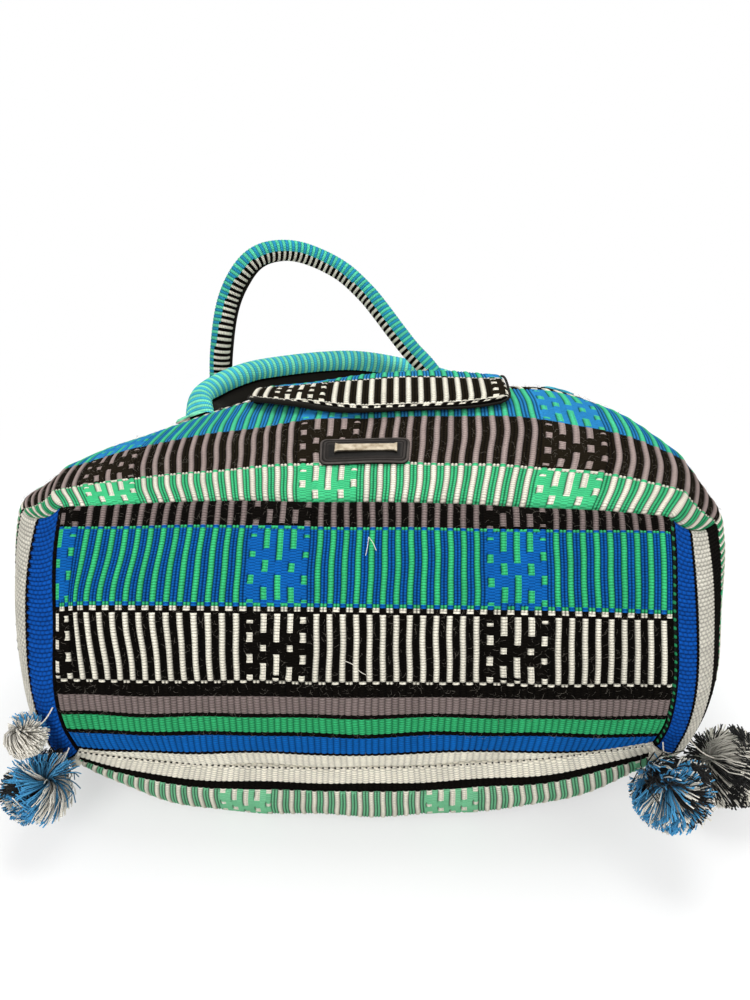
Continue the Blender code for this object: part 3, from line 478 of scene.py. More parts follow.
def pompom_tree():
    """Covers a core with bent threads in tufts."""
    tree, given = new_tree("thread_pompom", (
        ("Density", "Float", 300000.0), ("Length", "Float", 0.02), ("Thread Radius", "Float", 0.0003),
        ("Seed", "Int", 3), ("Sweep", "Vector", (0.0, 0.0, -0.3)), ("Centre", "Vector", (0.0, 0.0, 0.0)),
        ("Finish", "Material", None)))
    centre = given["Centre"]
    # straight stalks, each with a number of its own and its tuft's number and lean
    spots = scattered(tree, given, given["Density"])
    line = grow(tree, "GeometryNodeCurvePrimitiveLine", (0.0, 0.0, 0.0), (0.0, 0.0, 1.0)).outputs[0]
    stalk = grow(tree, "GeometryNodeResampleCurve", line, at={"Count": 6}).outputs[0]
    long = calc(tree, "MULTIPLY", by_chance(tree, 0.80, 1.08), given["Length"])
    stalks = planted(tree, spots.outputs[0], stalk, spots.outputs["Rotation"], long)
    stalks = store(tree, stalks, "strand", by_chance(tree, 0.0, 1.0), "INSTANCE")
    root = grow(tree, "GeometryNodeInputPosition").outputs[0]
    tuft = grow(tree, "ShaderNodeTexNoise", at={0: root, "Scale": 55.0, "Detail": 0.6})
    stalks = store(tree, stalks, "clump", tuft.outputs["Fac"], "INSTANCE")
    stalks = store(tree, stalks, "lean", tuft.outputs["Color"], "INSTANCE", "FLOAT_VECTOR")
    real = grow(tree, "GeometryNodeRealizeInstances", stalks)
    # each stalk leans with its tuft and falls with the sweep, but keeps its distance from the centre
    way = grow(tree, "GeometryNodeSplineParameter").outputs[0]
    place = grow(tree, "GeometryNodeInputPosition").outputs[0]
    fine = grow(tree, "ShaderNodeTexNoise", at={0: place, "Scale": 190.0, "Detail": 1.0})
    pushes = []
    for colour, amount in ((stored(tree, "lean", "FLOAT_VECTOR"), 9.0), (fine.outputs["Color"], 0.35)):
        pushes.append(times(tree, vector(tree, "SUBTRACT", colour, (0.5, 0.5, 0.5)), amount))
    push = vector(tree, "ADD", vector(tree, "ADD", *pushes), given["Sweep"])
    bend = calc(tree, "MULTIPLY", calc(tree, "POWER", way, 1.4), given["Length"])
    out = vector(tree, "SUBTRACT", place, centre)
    bowed = vector(tree, "NORMALIZE", vector(tree, "ADD", out, times(tree, push, bend)))
    bowed = times(tree, bowed, measured(tree, "LENGTH", out))
    on_floor = vector(tree, "MAXIMUM", vector(tree, "ADD", bowed, centre), (-9.0, -9.0, 0.0012))
    bent = grow(tree, "GeometryNodeSetPosition", real.outputs[0], at={"Position": on_floor})
    # each thread's place along it, which the yarn finish reads for its painted root shade
    threads = store(tree, bent.outputs[0], "along", way)
    spun = swept(tree, threads, three_sided(tree, given["Thread Radius"]))
    both = grow(tree, "GeometryNodeJoinGeometry", spun)
    tree.links.new(given["Geometry"], both.inputs[0])
    return close_tree(tree, both.outputs[0], given["Finish"])


def stitch_tree():
    """Lays short stitches along a line, each a small bead stretched along it."""
    tree, given = new_tree("running_stitch", (
        ("Spacing", "Float", 0.006), ("Stitch", "Vector", (0.0042, 0.0016, 0.001)),
        ("Finish", "Material", None)))
    spots = grow(tree, "GeometryNodeCurveToPoints", given["Geometry"], at={"Length": given["Spacing"]},
                 mode="LENGTH")
    bead = grow(tree, "GeometryNodeMeshUVSphere", at={"Segments": 8, "Rings": 6, "Radius": 0.5}).outputs[0]
    turn = grow(tree, "FunctionNodeAlignEulerToVector", at={2: spots.outputs["Tangent"]}, axis="X").outputs[0]
    laid = planted(tree, spots.outputs[0], bead, turn, given["Stitch"])
    return close_tree(tree, laid, given["Finish"])


def hair_tree():
    """Scatters short bent hairs over the dark yarn of a woven panel."""
    tree, given = new_tree("loose_hairs", (
        ("Density", "Float", 30000.0), ("Length", "Float", 0.004), ("Hair Radius", "Float", 0.00007),
        ("Seed", "Int", 3), ("Finish", "Material", None)))
    dark = calc(tree, "LESS_THAN", measured(tree, "LENGTH", stored(tree, "thread", "FLOAT_COLOR")), 0.30)
    spots = scattered(tree, given, calc(tree, "MULTIPLY", dark, given["Density"]))
    bow = grow(tree, "GeometryNodeCurveQuadraticBezier", 3, (0.0, 0.0, 0.0), (0.45, 0.15, 0.62),
               (1.0, -0.05, 0.22)).outputs[0]
    hair = swept(tree, bow, three_sided(tree, calc(tree, "DIVIDE", given["Hair Radius"], given["Length"])))
    spin = grow(tree, "FunctionNodeRandomValue", data_type="FLOAT_VECTOR",
                at={0: (-0.3, -0.3, 0.0), 1: (0.3, 0.3, 6.28)}).outputs[0]
    turned = grow(tree, "FunctionNodeRotateRotation", spots.outputs["Rotation"],
                  grow(tree, "FunctionNodeEulerToRotation", spin).outputs[0], rotation_space="LOCAL")
    size = calc(tree, "MULTIPLY", by_chance(tree, 0.5, 1.2), given["Length"])
    laid = planted(tree, spots.outputs[0], hair, turned.outputs[0], size)
    return close_tree(tree, laid, given["Finish"])


def through(tree, obj, settings):
    """Puts an object through a Geometry Nodes tree and gives back a plain mesh object of the same name."""
    step = obj.modifiers.new(tree.name, "NODES")
    step.node_group = tree
    for item in tree.interface.items_tree:
        if item.item_type == "SOCKET" and item.in_out == "INPUT" and item.name in settings:
            step[item.identifier] = settings[item.name]
    graph = bpy.context.evaluated_depsgraph_get()
    made = bpy.data.meshes.new_from_object(obj.evaluated_get(graph), preserve_all_data_layers=True,
                                           depsgraph=graph)
    name = obj.name
    bpy.data.objects.remove(obj)
    made.name = name
    return placed(name, made)


def placed(name, data):
    obj = bpy.data.objects.new(name, data)
    bpy.context.scene.collection.objects.link(obj)
    return obj


# Meshes
MERGE = 1e-6


@contextlib.contextmanager
def edited(mesh):
    """Opens a mesh for editing and writes it back."""
    bm = bmesh.new()
    bm.from_mesh(mesh)
    yield bm
    bm.to_mesh(mesh)
    bm.free()


def grid_faces(rows, columns, flip=False):
    i = np.arange(rows - 1)[:, None] * columns + np.arange(columns - 1)[None, :]
    quads = np.stack([i, i + 1, i + 1 + columns, i + columns], -1).reshape(-1, 4)
    return quads[:, ::-1] if flip else quads


def mesh_of(name, points, quads):
    """A smooth-shaded mesh of quads, made in one go."""
    mesh = bpy.data.meshes.new(name)
    mesh.vertices.add(len(points))
    mesh.vertices.foreach_set("co", np.ascontiguousarray(points, np.float32).ravel())
    mesh.loops.add(quads.size)
    mesh.loops.foreach_set("vertex_index", np.ascontiguousarray(quads, np.int32).ravel())
    mesh.polygons.add(len(quads))
    mesh.polygons.foreach_set("loop_start", np.arange(0, quads.size, quads.shape[1], dtype=np.int32))
    mesh.update(calc_edges=True)
    smoothed(mesh)
    mesh.validate()
    return mesh


def smoothed(mesh):
    mesh.polygons.foreach_set("use_smooth", np.full(len(mesh.polygons), True))


def mark(mesh, name, values):
    layer = mesh.attributes.new(name, "FLOAT", "POINT")
    layer.data.foreach_set("value", np.ascontiguousarray(values, np.float32).ravel())


def paint_corners(mesh, name, colours):
    """A colour for each face, kept on its corners so that it stays crisp."""
    rgba = np.ones((len(colours), 4), np.float32)
    rgba[:, :3] = colours
    layer = mesh.color_attributes.new(name, "FLOAT_COLOR", "CORNER")
    layer.data.foreach_set("color", np.repeat(rgba, 4, axis=0).ravel())


def arc(points, axis):
    """How far along a line each of its points is."""
    steps = np.linalg.norm(np.diff(points, axis=axis), axis=-1)
    return np.insert(np.cumsum(steps, axis=axis), 0, 0.0, axis=axis)


def read_at(places, knots, vectors):
    """Straight lines between vectors at knots, read at places."""
    return np.stack([np.interp(places, knots, vectors[:, k]) for k in range(vectors.shape[1])], -1)


EDGES = {"low": (0, 0), "high": (0, 1), "left": (1, 0), "right": (1, 1)}    # the axis, and which end of it


def all_round(value):
    return {edge: value for edge in EDGES}


def turned_edge(points, normals, axis, end, profile):
    """Carries a grid on past one edge: profile says how far inside it and below it each new line lies."""
    points, normals = np.moveaxis(points, axis, 0), np.moveaxis(normals, axis, 0)
    first, second = (0, 2) if end == 0 else (-1, -3)
    edge, normal = points[first], normals[first]
    inward = unit(points[second] - edge)
    lines = [edge + inward * inset - normal * depth for inset, depth in profile]
    if end == 0:
        points = np.concatenate([np.array(lines[::-1]), points])
    else:
        points = np.concatenate([points, np.array(lines)])
    return np.moveaxis(points, 0, axis)


def repeat_edge(values, axis, end, count):
    edge = np.take(values, [0 if end == 0 else -1], axis=axis)
    copies = np.repeat(edge, count, axis=axis)
    return np.concatenate([copies, values] if end == 0 else [values, copies], axis=axis)


def pair_lines(first, last, columns=PAIR_COLUMNS):
    """The places of the mesh's columns, counted in pairs of stripes."""
    whole = np.arange(math.floor(first), math.ceil(last) + 1)
    lines = (whole[:, None] + np.array(columns)).ravel()
    return np.concatenate([[first], lines[(lines > first + 0.02) & (lines < last - 0.02)], [last]])


def row_lines(length, bands, step=ROW_STEP):
    """The places of the rows, in metres along the cloth, with one on each band's edge."""
    marks = [0.0] + [b[0] / 1000 for b in bands if 0.0006 < b[0] / 1000 < length - 0.0006] + [length]
    lines = [np.linspace(a, b, max(1, round((b - a) / step)) + 1)[:-1] for a, b in zip(marks, marks[1:])]
    return np.concatenate(lines + [[length]])


def dressed(mesh, pair, run, colours, kinds, ridge, quads, bead=BEAD):
    """Gives a woven mesh what its ridges and its finish read."""
    for name, values in {"pair": pair, "ridge": ridge, **kinds}.items():
        mark(mesh, name, values)
    paint_corners(mesh, "thread", colours.reshape(-1, 3))
    uv = np.stack([pair.ravel(), run.ravel() / bead], -1)[quads.ravel()]
    layer = mesh.uv_layers.new(name="weave")
    layer.data.foreach_set("uv", np.ascontiguousarray(uv, np.float32).ravel())


def middles(values):
    return (values[:-1, :-1] + values[1:, :-1] + values[:-1, 1:] + values[1:, 1:]) / 4


PUCKER = 0.0035    # the ridges fade out this close to a seam


def woven_panel(name, surface, pairs, to_across, lay, bands, motif_at, seed, turns, dips, body=0.0, bead=BEAD,
                lean=None):
    """A panel of ridged cloth. Columns follow the stripes and rows cross them. turns are the edges' profiles,
    and dips how deep and how wide each seam pulls the cloth in, and how it puffs beside it."""
    across = to_across(pairs)
    B, R = lay(across)
    A = np.broadcast_to(across[None, :], B.shape)
    if lean:
        A = A + lean(A, R)
    points = surface(A, B)
    low, high = np.min(B), np.max(B)
    inside = (high - low) * 2e-3
    normals = outward(surface, A, np.clip(B, low + inside, high - inside))
    i, j = B.shape[0] // 2, B.shape[1] // 2
    grid_normal = np.cross(points[i, j + 1] - points[i, j], points[i + 1, j] - points[i, j])
    flip = np.dot(grid_normal, normals[i, j]) < 0
    from_rows, from_columns = arc(points, 0), arc(points, 1)
    gaps = {"low": from_rows, "high": from_rows[-1:] - from_rows, "left": from_columns,
            "right": from_columns[:, -1:] - from_columns}
    lift, ridge = np.full(A.shape, body), np.ones(A.shape)
    for edge, (depth, radius, puff, reach) in dips.items():
        near = np.clip(1 - gaps[edge] / radius, 0, 1)
        swell = puff * np.exp(-((gaps[edge] - radius - reach / 2) / reach) ** 2)
        lift = lift - depth * (1 - np.sqrt(1 - near ** 2)) + swell
        ridge = ridge * smooth(gaps[edge] / PUCKER)
    points = points + normals * (lift[..., None] + sway(points))
    points[..., 2] = np.maximum(points[..., 2], LIGHT_HEIGHT + 0.0001)
    values = {"pair": np.broadcast_to(pairs[None, :], B.shape), "run": R, "ridge": ridge}
    for edge, profile in turns.items():
        axis, end = EDGES[edge]
        points = turned_edge(points, normals, axis, end, profile)
        normals = repeat_edge(normals, axis, end, len(profile))
        values = {k: repeat_edge(v, axis, end, len(profile)) for k, v in values.items()}
    pair, run = values["pair"], values["run"]
    colours = weave(middles(pair), middles(run), bands, motif_at, np.random.default_rng(seed))[0]
    kinds = weave(pair + INTO_PAIR, run, bands, motif_at, np.random.default_rng(seed))[1]
    quads = grid_faces(*pair.shape, flip=flip)
    mesh = mesh_of(name, points.reshape(-1, 3), quads)
    dressed(mesh, pair, run, colours, kinds, values["ridge"], quads, bead)
    return through(RIDGES, placed(name, mesh), {"Finish": FINISH["woven"]})


def mended(mesh, distance=MERGE, dissolve=True):
    """Joins a mesh's doubled points and turns its faces outwards."""
    with edited(mesh) as bm:
        bmesh.ops.remove_doubles(bm, verts=bm.verts, dist=distance)
        if dissolve:
            bmesh.ops.dissolve_degenerate(bm, dist=1e-7, edges=bm.edges)
        bmesh.ops.recalc_face_normals(bm, faces=bm.faces)


def welded(obj, material, distance=MERGE):
    mended(obj.data, distance)
    obj.data.materials.clear()
    obj.data.materials.append(material)
    return obj


def tube_of(name, path, radius, sides, material):
    """A round cord along a path, its two ends closed."""
    path = np.asarray(path, float)
    radius = np.broadcast_to(radius, len(path))
    ahead = unit(np.gradient(path, axis=0))
    side = unit(np.cross(ahead[0], (0.3, 0.2, 0.93)))
    turn = np.arange(sides + 1) * 2 * math.pi / sides
    rings = []
    for place, way, r in zip(path, ahead, radius):
        side = unit(side - way * np.dot(side, way))
        up = np.cross(way, side)
        rings.append(place + r * (np.cos(turn)[:, None] * side + np.sin(turn)[:, None] * up))
    rings = [np.repeat(path[:1], sides + 1, 0)] + rings + [np.repeat(path[-1:], sides + 1, 0)]
    points = np.array(rings)
    mesh = mesh_of(name, points.reshape(-1, 3), grid_faces(*points.shape[:2]))
    return welded(placed(name, mesh), material)


def joined(name, objects):
    """Several mesh objects as one."""
    mesh = bpy.data.meshes.new(name)
    with edited(mesh) as bm:
        for obj in objects:
            bm.from_mesh(obj.data)
    mesh.materials.append(objects[0].data.materials[0])
    for obj in objects:
        bpy.data.objects.remove(obj)
    return placed(name, mesh)


# Finishes
def new_finish(name, roughness, metallic=0.0, **sockets):
    material = bpy.data.materials.new(name)
    material.use_nodes = True
    tree = material.node_tree
    shader = tree.nodes["Principled BSDF"]
    for key, value in {"Roughness": roughness, "Metallic": metallic, **sockets}.items():
        shader.inputs[key.replace("_", " ")].default_value = value
    return material, tree, shader


def dress_shader(tree, shader, colour, roughness, height, distance):
    """Joins a finish's colour, roughness and bump to its shader."""
    bump = grow(tree, "ShaderNodeBump", at={"Strength": 1.0, "Distance": distance, "Height": height})
    for socket, feed in (("Base Color", colour), ("Roughness", roughness), ("Normal", bump.outputs[0])):
        tree.links.new(feed, shader.inputs[socket])


def ramp(tree, factor, stops, interpolation="LINEAR"):
    node = grow(tree, "ShaderNodeValToRGB", factor)
    node.color_ramp.interpolation = interpolation
    while len(node.color_ramp.elements) < len(stops):
        node.color_ramp.elements.new(0.5)
    for element, (place, colour) in zip(node.color_ramp.elements, stops):
        element.position, element.color = place, (*colour, 1.0)
    return node.outputs[0]


def object_place(tree):
    return grow(tree, "ShaderNodeTexCoord").outputs["Object"]


def painted(tree, name, output="Fac"):
    return grow(tree, "ShaderNodeAttribute", attribute_name=name).outputs[output]


def noise(tree, scale, detail=2.0, place=None, roughness=0.5):
    settings = {0: place or object_place(tree), "Scale": scale, "Detail": detail, "Roughness": roughness}
    return grow(tree, "ShaderNodeTexNoise", at=settings).outputs["Fac"]


def woven_finish():
    """Wool and cotton yarn in a dense weave: each stripe's colour, painted shade between its beads and in its
    grooves, and its fuzz.
    """
    material, tree, shader = new_finish("woven_cloth", 0.9, Specular_IOR_Level=0.01)
    colour, crest = painted(tree, "thread", "Color"), painted(tree, "crest")
    uv = grow(tree, "ShaderNodeSeparateXYZ", grow(tree, "ShaderNodeUVMap", uv_map="weave").outputs[0])
    pair, run = uv.outputs[0], uv.outputs[1]
    # beads along each stripe, half a bead on from its neighbour's
    step = calc(tree, "MULTIPLY", calc(tree, "FLOOR", calc(tree, "MULTIPLY", pair, 2.0)), 0.5)
    wobble = scaled(tree, noise(tree, 320.0), -0.35, 0.35)
    beat = calc(tree, "ADD", calc(tree, "ADD", run, step), wobble)
    bead = calc(tree, "POWER", arch(tree, beat), 0.55)
    fuzz, patches = noise(tree, 1500.0, 3.0, roughness=0.7), noise(tree, 60.0)
    # the bead wave paints shade into the gaps between beads; the fuzz varies the tone at random
    tone = calc(tree, "MULTIPLY", scaled(tree, bead, 0.55, 1.12), scaled(tree, fuzz, 0.66, 1.34))
    # painted shade in the grooves between ridges, deeper beside dark yarn and where a stripe is in two, with
    # the crests painted a little lighter
    pale = measured(tree, "DOT_PRODUCT", colour, (0.22, 0.22, 0.22))
    one_ridge, two_ridges = calc(tree, "ADD", pale, 0.34), 0.16
    groove = mix(tree, calc(tree, "SUBTRACT", painted(tree, "split"), 1.0), one_ridge, two_ridges)
    tone = calc(tree, "MULTIPLY", tone, mix(tree, crest, groove, 1.12))
    tone = calc(tree, "MULTIPLY", tone, scaled(tree, patches, 0.86, 1.14))
    lint = calc(tree, "MULTIPLY", calc(tree, "POWER", noise(tree, 2600.0), 3.0), 0.04)
    linty = mix_colour(tree, lint, times(tree, colour, tone), (0.42, 0.38, 0.36, 1.0))
    height = calc(tree, "ADD", bead, calc(tree, "MULTIPLY", fuzz, 0.7))
    dress_shader(tree, shader, linty, scaled(tree, fuzz, 0.80, 0.96), height, 0.0008)
    return material


def cotton_finish(name, code, scale, spread):
    """Plain matt cotton or cord: a flat weave of fine crossing threads."""
    material, tree, shader = new_finish(name, 0.88, Sheen_Weight=0.02, Specular_IOR_Level=0.08)
    place = object_place(tree)
    fibres, patches = noise(tree, scale, 3.0, place, 0.65), noise(tree, 45.0, 2.0, place)
    fine = scaled(tree, fibres, 1 - spread, 1 + spread)
    colour = times(tree, linear(code), calc(tree, "MULTIPLY", fine, scaled(tree, patches, 0.85, 1.15)))
    dress_shader(tree, shader, colour, scaled(tree, fibres, 0.75, 0.95), fibres, 0.0004)
    return material


def leather_finish():
    """Black leather: a fine pebbled grain, paler where the edge is rubbed."""
    material, tree, shader = new_finish("black_label_leather", 0.6, Specular_IOR_Level=0.04)
    place = object_place(tree)
    grain = grow(tree, "ShaderNodeTexVoronoi", at={0: place, "Scale": 1100.0}, feature="SMOOTH_F1")
    soft, rubbed = noise(tree, 700.0, 3.0, place), noise(tree, 130.0, 3.0, place)
    amount = calc(tree, "MULTIPLY", painted(tree, "wear"), scaled(tree, rubbed, 0.1, 0.9))
    dark = ramp(tree, soft, ((0.25, (0.003, 0.0028, 0.0025)), (0.8, (0.011, 0.010, 0.009))))
    colour = mix_colour(tree, amount, dark, (0.13, 0.11, 0.10, 1.0))
    height = calc(tree, "ADD", grain.outputs["Distance"], soft)
    dress_shader(tree, shader, colour, scaled(tree, soft, 0.34, 0.56), height, 0.00012)
    return material


def metal_finish():
    """Champagne-coloured plated metal, brushed along its length and a little tarnished."""
    material, tree, shader = new_finish("champagne_metal_plate", 0.4, 1.0)
    place = object_place(tree)
    stretch = grow(tree, "ShaderNodeMapping", place, at={"Scale": (60.0, 2600.0, 2600.0)})
    brushed, tarnish = noise(tree, 1.0, 2.0, stretch.outputs[0]), noise(tree, 240.0, 3.0, place)
    colour = ramp(tree, tarnish, ((0.3, (0.150, 0.120, 0.080)), (0.7, (0.30, 0.262, 0.20))))
    dress_shader(tree, shader, colour, scaled(tree, brushed, 0.45, 0.62), brushed, 0.00003)
    return material


def yarn_finish(name, stops):
    """Loose yarn: each tuft takes one colour, with a stray thread here and there, and painted shade darkening
    each thread towards its root.
    """
    material, tree, shader = new_finish(name, 0.7, Sheen_Weight=0.05, Sheen_Roughness=0.5,
                                        Specular_IOR_Level=0.25)
    strand, clump = painted(tree, "strand"), painted(tree, "clump")
    stray = calc(tree, "MULTIPLY", strand, 0.12)
    key = calc(tree, "ADD", stray, calc(tree, "MULTIPLY_ADD", clump, 2.9, -1.03))
    colour = ramp(tree, key, stops, "CONSTANT")
    fibre = noise(tree, 1700.0)
    # painted shade: darker towards the root, deep inside the pompom
    shade = scaled(tree, painted(tree, "along"), 0.30, 1.10)
    tone = calc(tree, "MULTIPLY", scaled(tree, fibre, 0.75, 1.2), shade)
    dress_shader(tree, shader, times(tree, colour, tone), scaled(tree, fibre, 0.5, 0.75), fibre, 0.0002)
    return material


SKY, CREAM, COAL, PETROL = linear("4A9CCC"), linear("E4DFD3"), linear("0E0D0C"), linear("235F80")
FINISH = {
    "woven": woven_finish(),
    "lining": cotton_finish("black_cotton_lining", "1B1A1A", 700.0, 0.2),
    "binding": cotton_finish("black_binding", "15130F", 1500.0, 0.35),
    "white_cord": cotton_finish("white_stitching", "E6E1D4", 1500.0, 0.2),
    "hair": cotton_finish("loose_wool_hair", "7A746B", 900.0, 0.2),
    "tie": cotton_finish("pale_tie_thread", "DCD6CA", 1300.0, 0.25),
    "leather": leather_finish(),
    "metal": metal_finish(),
    "blue_yarn": yarn_finish("blue_and_white_yarn", (
        (0.0, COAL), (0.16, SKY), (0.42, CREAM), (0.53, PETROL), (0.58, SKY), (0.76, CREAM), (0.84, COAL))),
    "pale_yarn": yarn_finish("pale_blue_and_white_yarn", (
        (0.0, SKY), (0.34, CREAM), (0.46, SKY), (0.62, CREAM))),
    "mixed_yarn": yarn_finish("black_and_cream_yarn", (
        (0.0, COAL), (0.42, CREAM), (0.66, COAL), (0.84, CREAM)))}
RIDGES, POMPOM, STITCH, HAIRS = ridge_tree(), pompom_tree(), stitch_tree(), hair_tree()


def settle(obj, slot, *nodes):
    """Rides a finished piece on the bag, in place of its CAD nodes."""
    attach(obj, "root")
    if nodes:
        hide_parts(*nodes)


# The camera, at the photograph's viewing angle
PITCH, YAW = math.radians(30.0), math.radians(2.0)
CAMERA_PLACE = (0.02665668, -0.56724074, 0.54914674)
FOCAL_PIXELS, IMAGE_PIXELS, SENSOR = 760, 1000, 36.0


def build_camera():
    ahead = Vector((-math.sin(YAW), math.cos(YAW), 0.0))
    right = Vector((math.cos(YAW), math.sin(YAW), 0.0))
    sight = ahead * math.cos(PITCH) - Vector((0, 0, math.sin(PITCH)))
    above = ahead * math.sin(PITCH) + Vector((0, 0, math.cos(PITCH)))
    camera = placed("camera", bpy.data.cameras.new("camera"))
    camera.data.lens, camera.data.sensor_width = FOCAL_PIXELS * SENSOR / IMAGE_PIXELS, SENSOR
    camera.data.clip_start = 0.01
    turn = Matrix((right, above, -sight)).transposed().to_4x4()
    camera.matrix_world = Matrix.Translation(CAMERA_PLACE) @ turn
    bpy.context.scene.camera = camera


build_camera()

# The five panels. How each edge is turned in: how far each line lies inside the edge, and below it
SEAM_TURN = ((0.0002, 0.003), (0.0010, 0.008))
HEM_TURN = ((-0.0007, 0.0005), (-0.0011, 0.0016), (-0.0006, 0.0027), (0.0006, 0.0032), (0.007, 0.0034),
            (0.016, 0.0036))
BOUND_TURN = ((-0.0004, 0.0007), (-0.0005, 0.0015), (-0.0002, 0.0024), (0.004, 0.0026))
ALL_SEAMS = all_round(SEAM_TURN)
MOUTH_AND_SEAMS = {**ALL_SEAMS, "high": HEM_TURN}
# How each seam pulls the cloth in: its depth and its radius, then the puff beside it and its reach
SOFT_EDGE, BASE_TOP_EDGE = (0.0022, 0.006, 0.0, 0.01), (0.0034, 0.008, 0.0, 0.01)
FRONT_SEAM_EDGE, FLAP_EDGE = (0.0030, 0.007, 0.0010, 0.012), (0.0008, 0.003, 0.0, 0.01)
SOFT_BUT_MOUTH = {"low": SOFT_EDGE, "left": SOFT_EDGE, "right": SOFT_EDGE}
READ = 401                  # how many places a panel's middle line is measured at
BASE_PAIRS, GUSSET_PAIRS = 47.0, 29
FRONT_MOTIF, BACK_MOTIF = 26.235, 21.235    # the middle of the motif's own light stripe, in pairs
# The bow in the base's stripes: its place and reach along the cloth in metres, and its share of the half width
BOW_AT, BOW_REACH, BOW_PUSH = 0.143, 0.034, 0.034
# How much further along the cloth the base's ends are than its middle at the same height, because its bands
# run straight while its seams curve: (place, left end, right end), metres
BASE_DRIFT = ((0.0, 0.017, 0.029), (0.015, 0.017, 0.029), (0.040, 0.016, 0.023), (0.068, 0.015, 0.019),
              (0.129, 0.014, 0.014), (0.200, 0.003, -0.003), (0.222, 0.001, -0.003))


def straight_rows(places, run, share, across):
    """Rows that keep one place along the panel all the way across it."""
    return tuple(np.repeat(v[:, None], len(across), 1) for v in (np.interp(places, run, share), places))


def level_rows(surface, bands, step=ROW_STEP):
    share = np.linspace(0, 1, READ)
    run = arc(surface(np.zeros(READ), share), 0)
    return lambda across: straight_rows(row_lines(run[-1], bands, step), run, share, across)


def gusset_rows(bands):
    ends = np.array([0.0, GUSSET_LENGTH])
    return lambda across: straight_rows(row_lines(GUSSET_LENGTH, bands, GUSSET_STEP), ends, ends, across)


def base_rows(across):
    share = np.linspace(0, 1, READ)
    run = arc(base_at(np.zeros(READ), share), 0)
    places = row_lines(run[-1], BASE_BANDS)
    knots, left, right = np.array(BASE_DRIFT).T
    B, R = [], []
    for a in across:
        drifted = run + np.interp(run, knots, left if a < 0 else right) * abs(a) ** SIDE_POWER
        kept = np.clip(places, drifted[0], drifted[-1])
        B.append(np.interp(kept, drifted, share))
        R.append(kept)
    return np.array(B).T, np.array(R).T


def wander(across, run):
    """Stripes never run quite straight: how far aside they are, as a share of the panel's half width."""
    free = 1 - np.abs(across) ** 8
    return free * (0.0013 * np.sin(75 * run + 6 * across) + 0.0010 * np.sin(160 * run - 13 * across + 1.0))


def base_lean(across, run):
    """Near the left end the base's stripes bow outwards where the blue band meets the black one."""
    bow = np.exp(-((run - BOW_AT) / BOW_REACH) ** 2)
    bow = bow * smooth((across + 1) / 0.14) * smooth((-0.20 - across) / 0.6)
    return wander(across, run) - BOW_PUSH * bow


def base_spread(pairs):
    """The base's stripes sit a little closer towards its left end."""
    even = pairs / (BASE_PAIRS / 2) - 1
    return even + 0.012 * np.clip(0.4 - even, 0, 1) * (1 - even ** 8)


def front_spread(pairs):
    """The front's stripes, set out from its motif, a little wider apart to the right."""
    past = pairs - FRONT_MOTIF
    return np.clip(-0.095 + 0.62375 * past / MOTIF_REPEAT + 0.02375 * (past / MOTIF_REPEAT) ** 2, -1, 1)


def back_spread(pairs):
    return np.clip((pairs - BACK_MOTIF) / 30.77 - 0.3225, -1, 1)


settle(woven_panel("base_weave", base_at, pair_lines(0.0, BASE_PAIRS), base_spread, base_rows, BASE_BANDS, 17,
                   11, ALL_SEAMS, {**all_round(SOFT_EDGE), "high": BASE_TOP_EDGE}, lean=base_lean),
       "base_cloth", "base_panel")
settle(woven_panel("front_weave", front_at, pair_lines(-1.5, 56.0), front_spread,
                   level_rows(front_at, FRONT_BANDS), FRONT_BANDS, 26, 12, MOUTH_AND_SEAMS,
                   {**SOFT_BUT_MOUTH, "low": FRONT_SEAM_EDGE}, lean=wander),
       "front_cloth", "front_panel")
settle(woven_panel("back_weave", back_at, pair_lines(0.388, 61.93), back_spread,
                   level_rows(back_at, BACK_BANDS, BACK_STEP), BACK_BANDS, 21, 13, MOUTH_AND_SEAMS,
                   SOFT_BUT_MOUTH, lean=wander),
       "back_cloth", "back_panel")
for end, side, seed in (("left", -1.0, 14), ("right", 1.0, 15)):
    gusset = woven_panel("gusset_" + end + "_weave", functools.partial(gusset_at, side),
                         pair_lines(0.0, float(GUSSET_PAIRS)), lambda pairs: pairs / GUSSET_PAIRS,
                         gusset_rows(GUSSET_BANDS[end]), GUSSET_BANDS[end], 12, seed, MOUTH_AND_SEAMS,
                         SOFT_BUT_MOUTH, bead=GUSSET_BEAD)
    settle(gusset, "gusset_cloth", "gusset_" + end)

# The chain of stitches along the seam of base and back, dark and light stitches by turns
STITCH_SPACING, STITCH_SIZE, SEAM_PROUD = 0.0048, (0.0027, 0.0013, 0.0013), 0.0004


def build_chain(name, start, yarn):
    ends = np.linspace(-0.99, 0.99, 240)
    out = unit(outward(base_at, ends, 0.01) + outward(back_at, ends * CORNER_U, 0.01))
    seam = base_at(ends, 0.0) + out * SEAM_PROUD
    way = arc(seam, 0)
    line = read_at(np.arange(start, way[-1] - 0.002, 0.0008), way, seam)
    thread = bpy.data.curves.new(name, "CURVE")
    thread.dimensions = "3D"
    spline = thread.splines.new("POLY")
    spline.points.add(len(line) - 1)
    for point, place in zip(spline.points, line):
        point.co = (*place, 1.0)
    settle(through(STITCH, placed(name, thread), {"Spacing": STITCH_SPACING, "Stitch": STITCH_SIZE,
                                                  "Finish": FINISH[yarn]}), "base_cloth")


build_chain("seam_chain_dark", 0.0, "binding")
build_chain("seam_chain_light", STITCH_SPACING / 2, "white_cord")

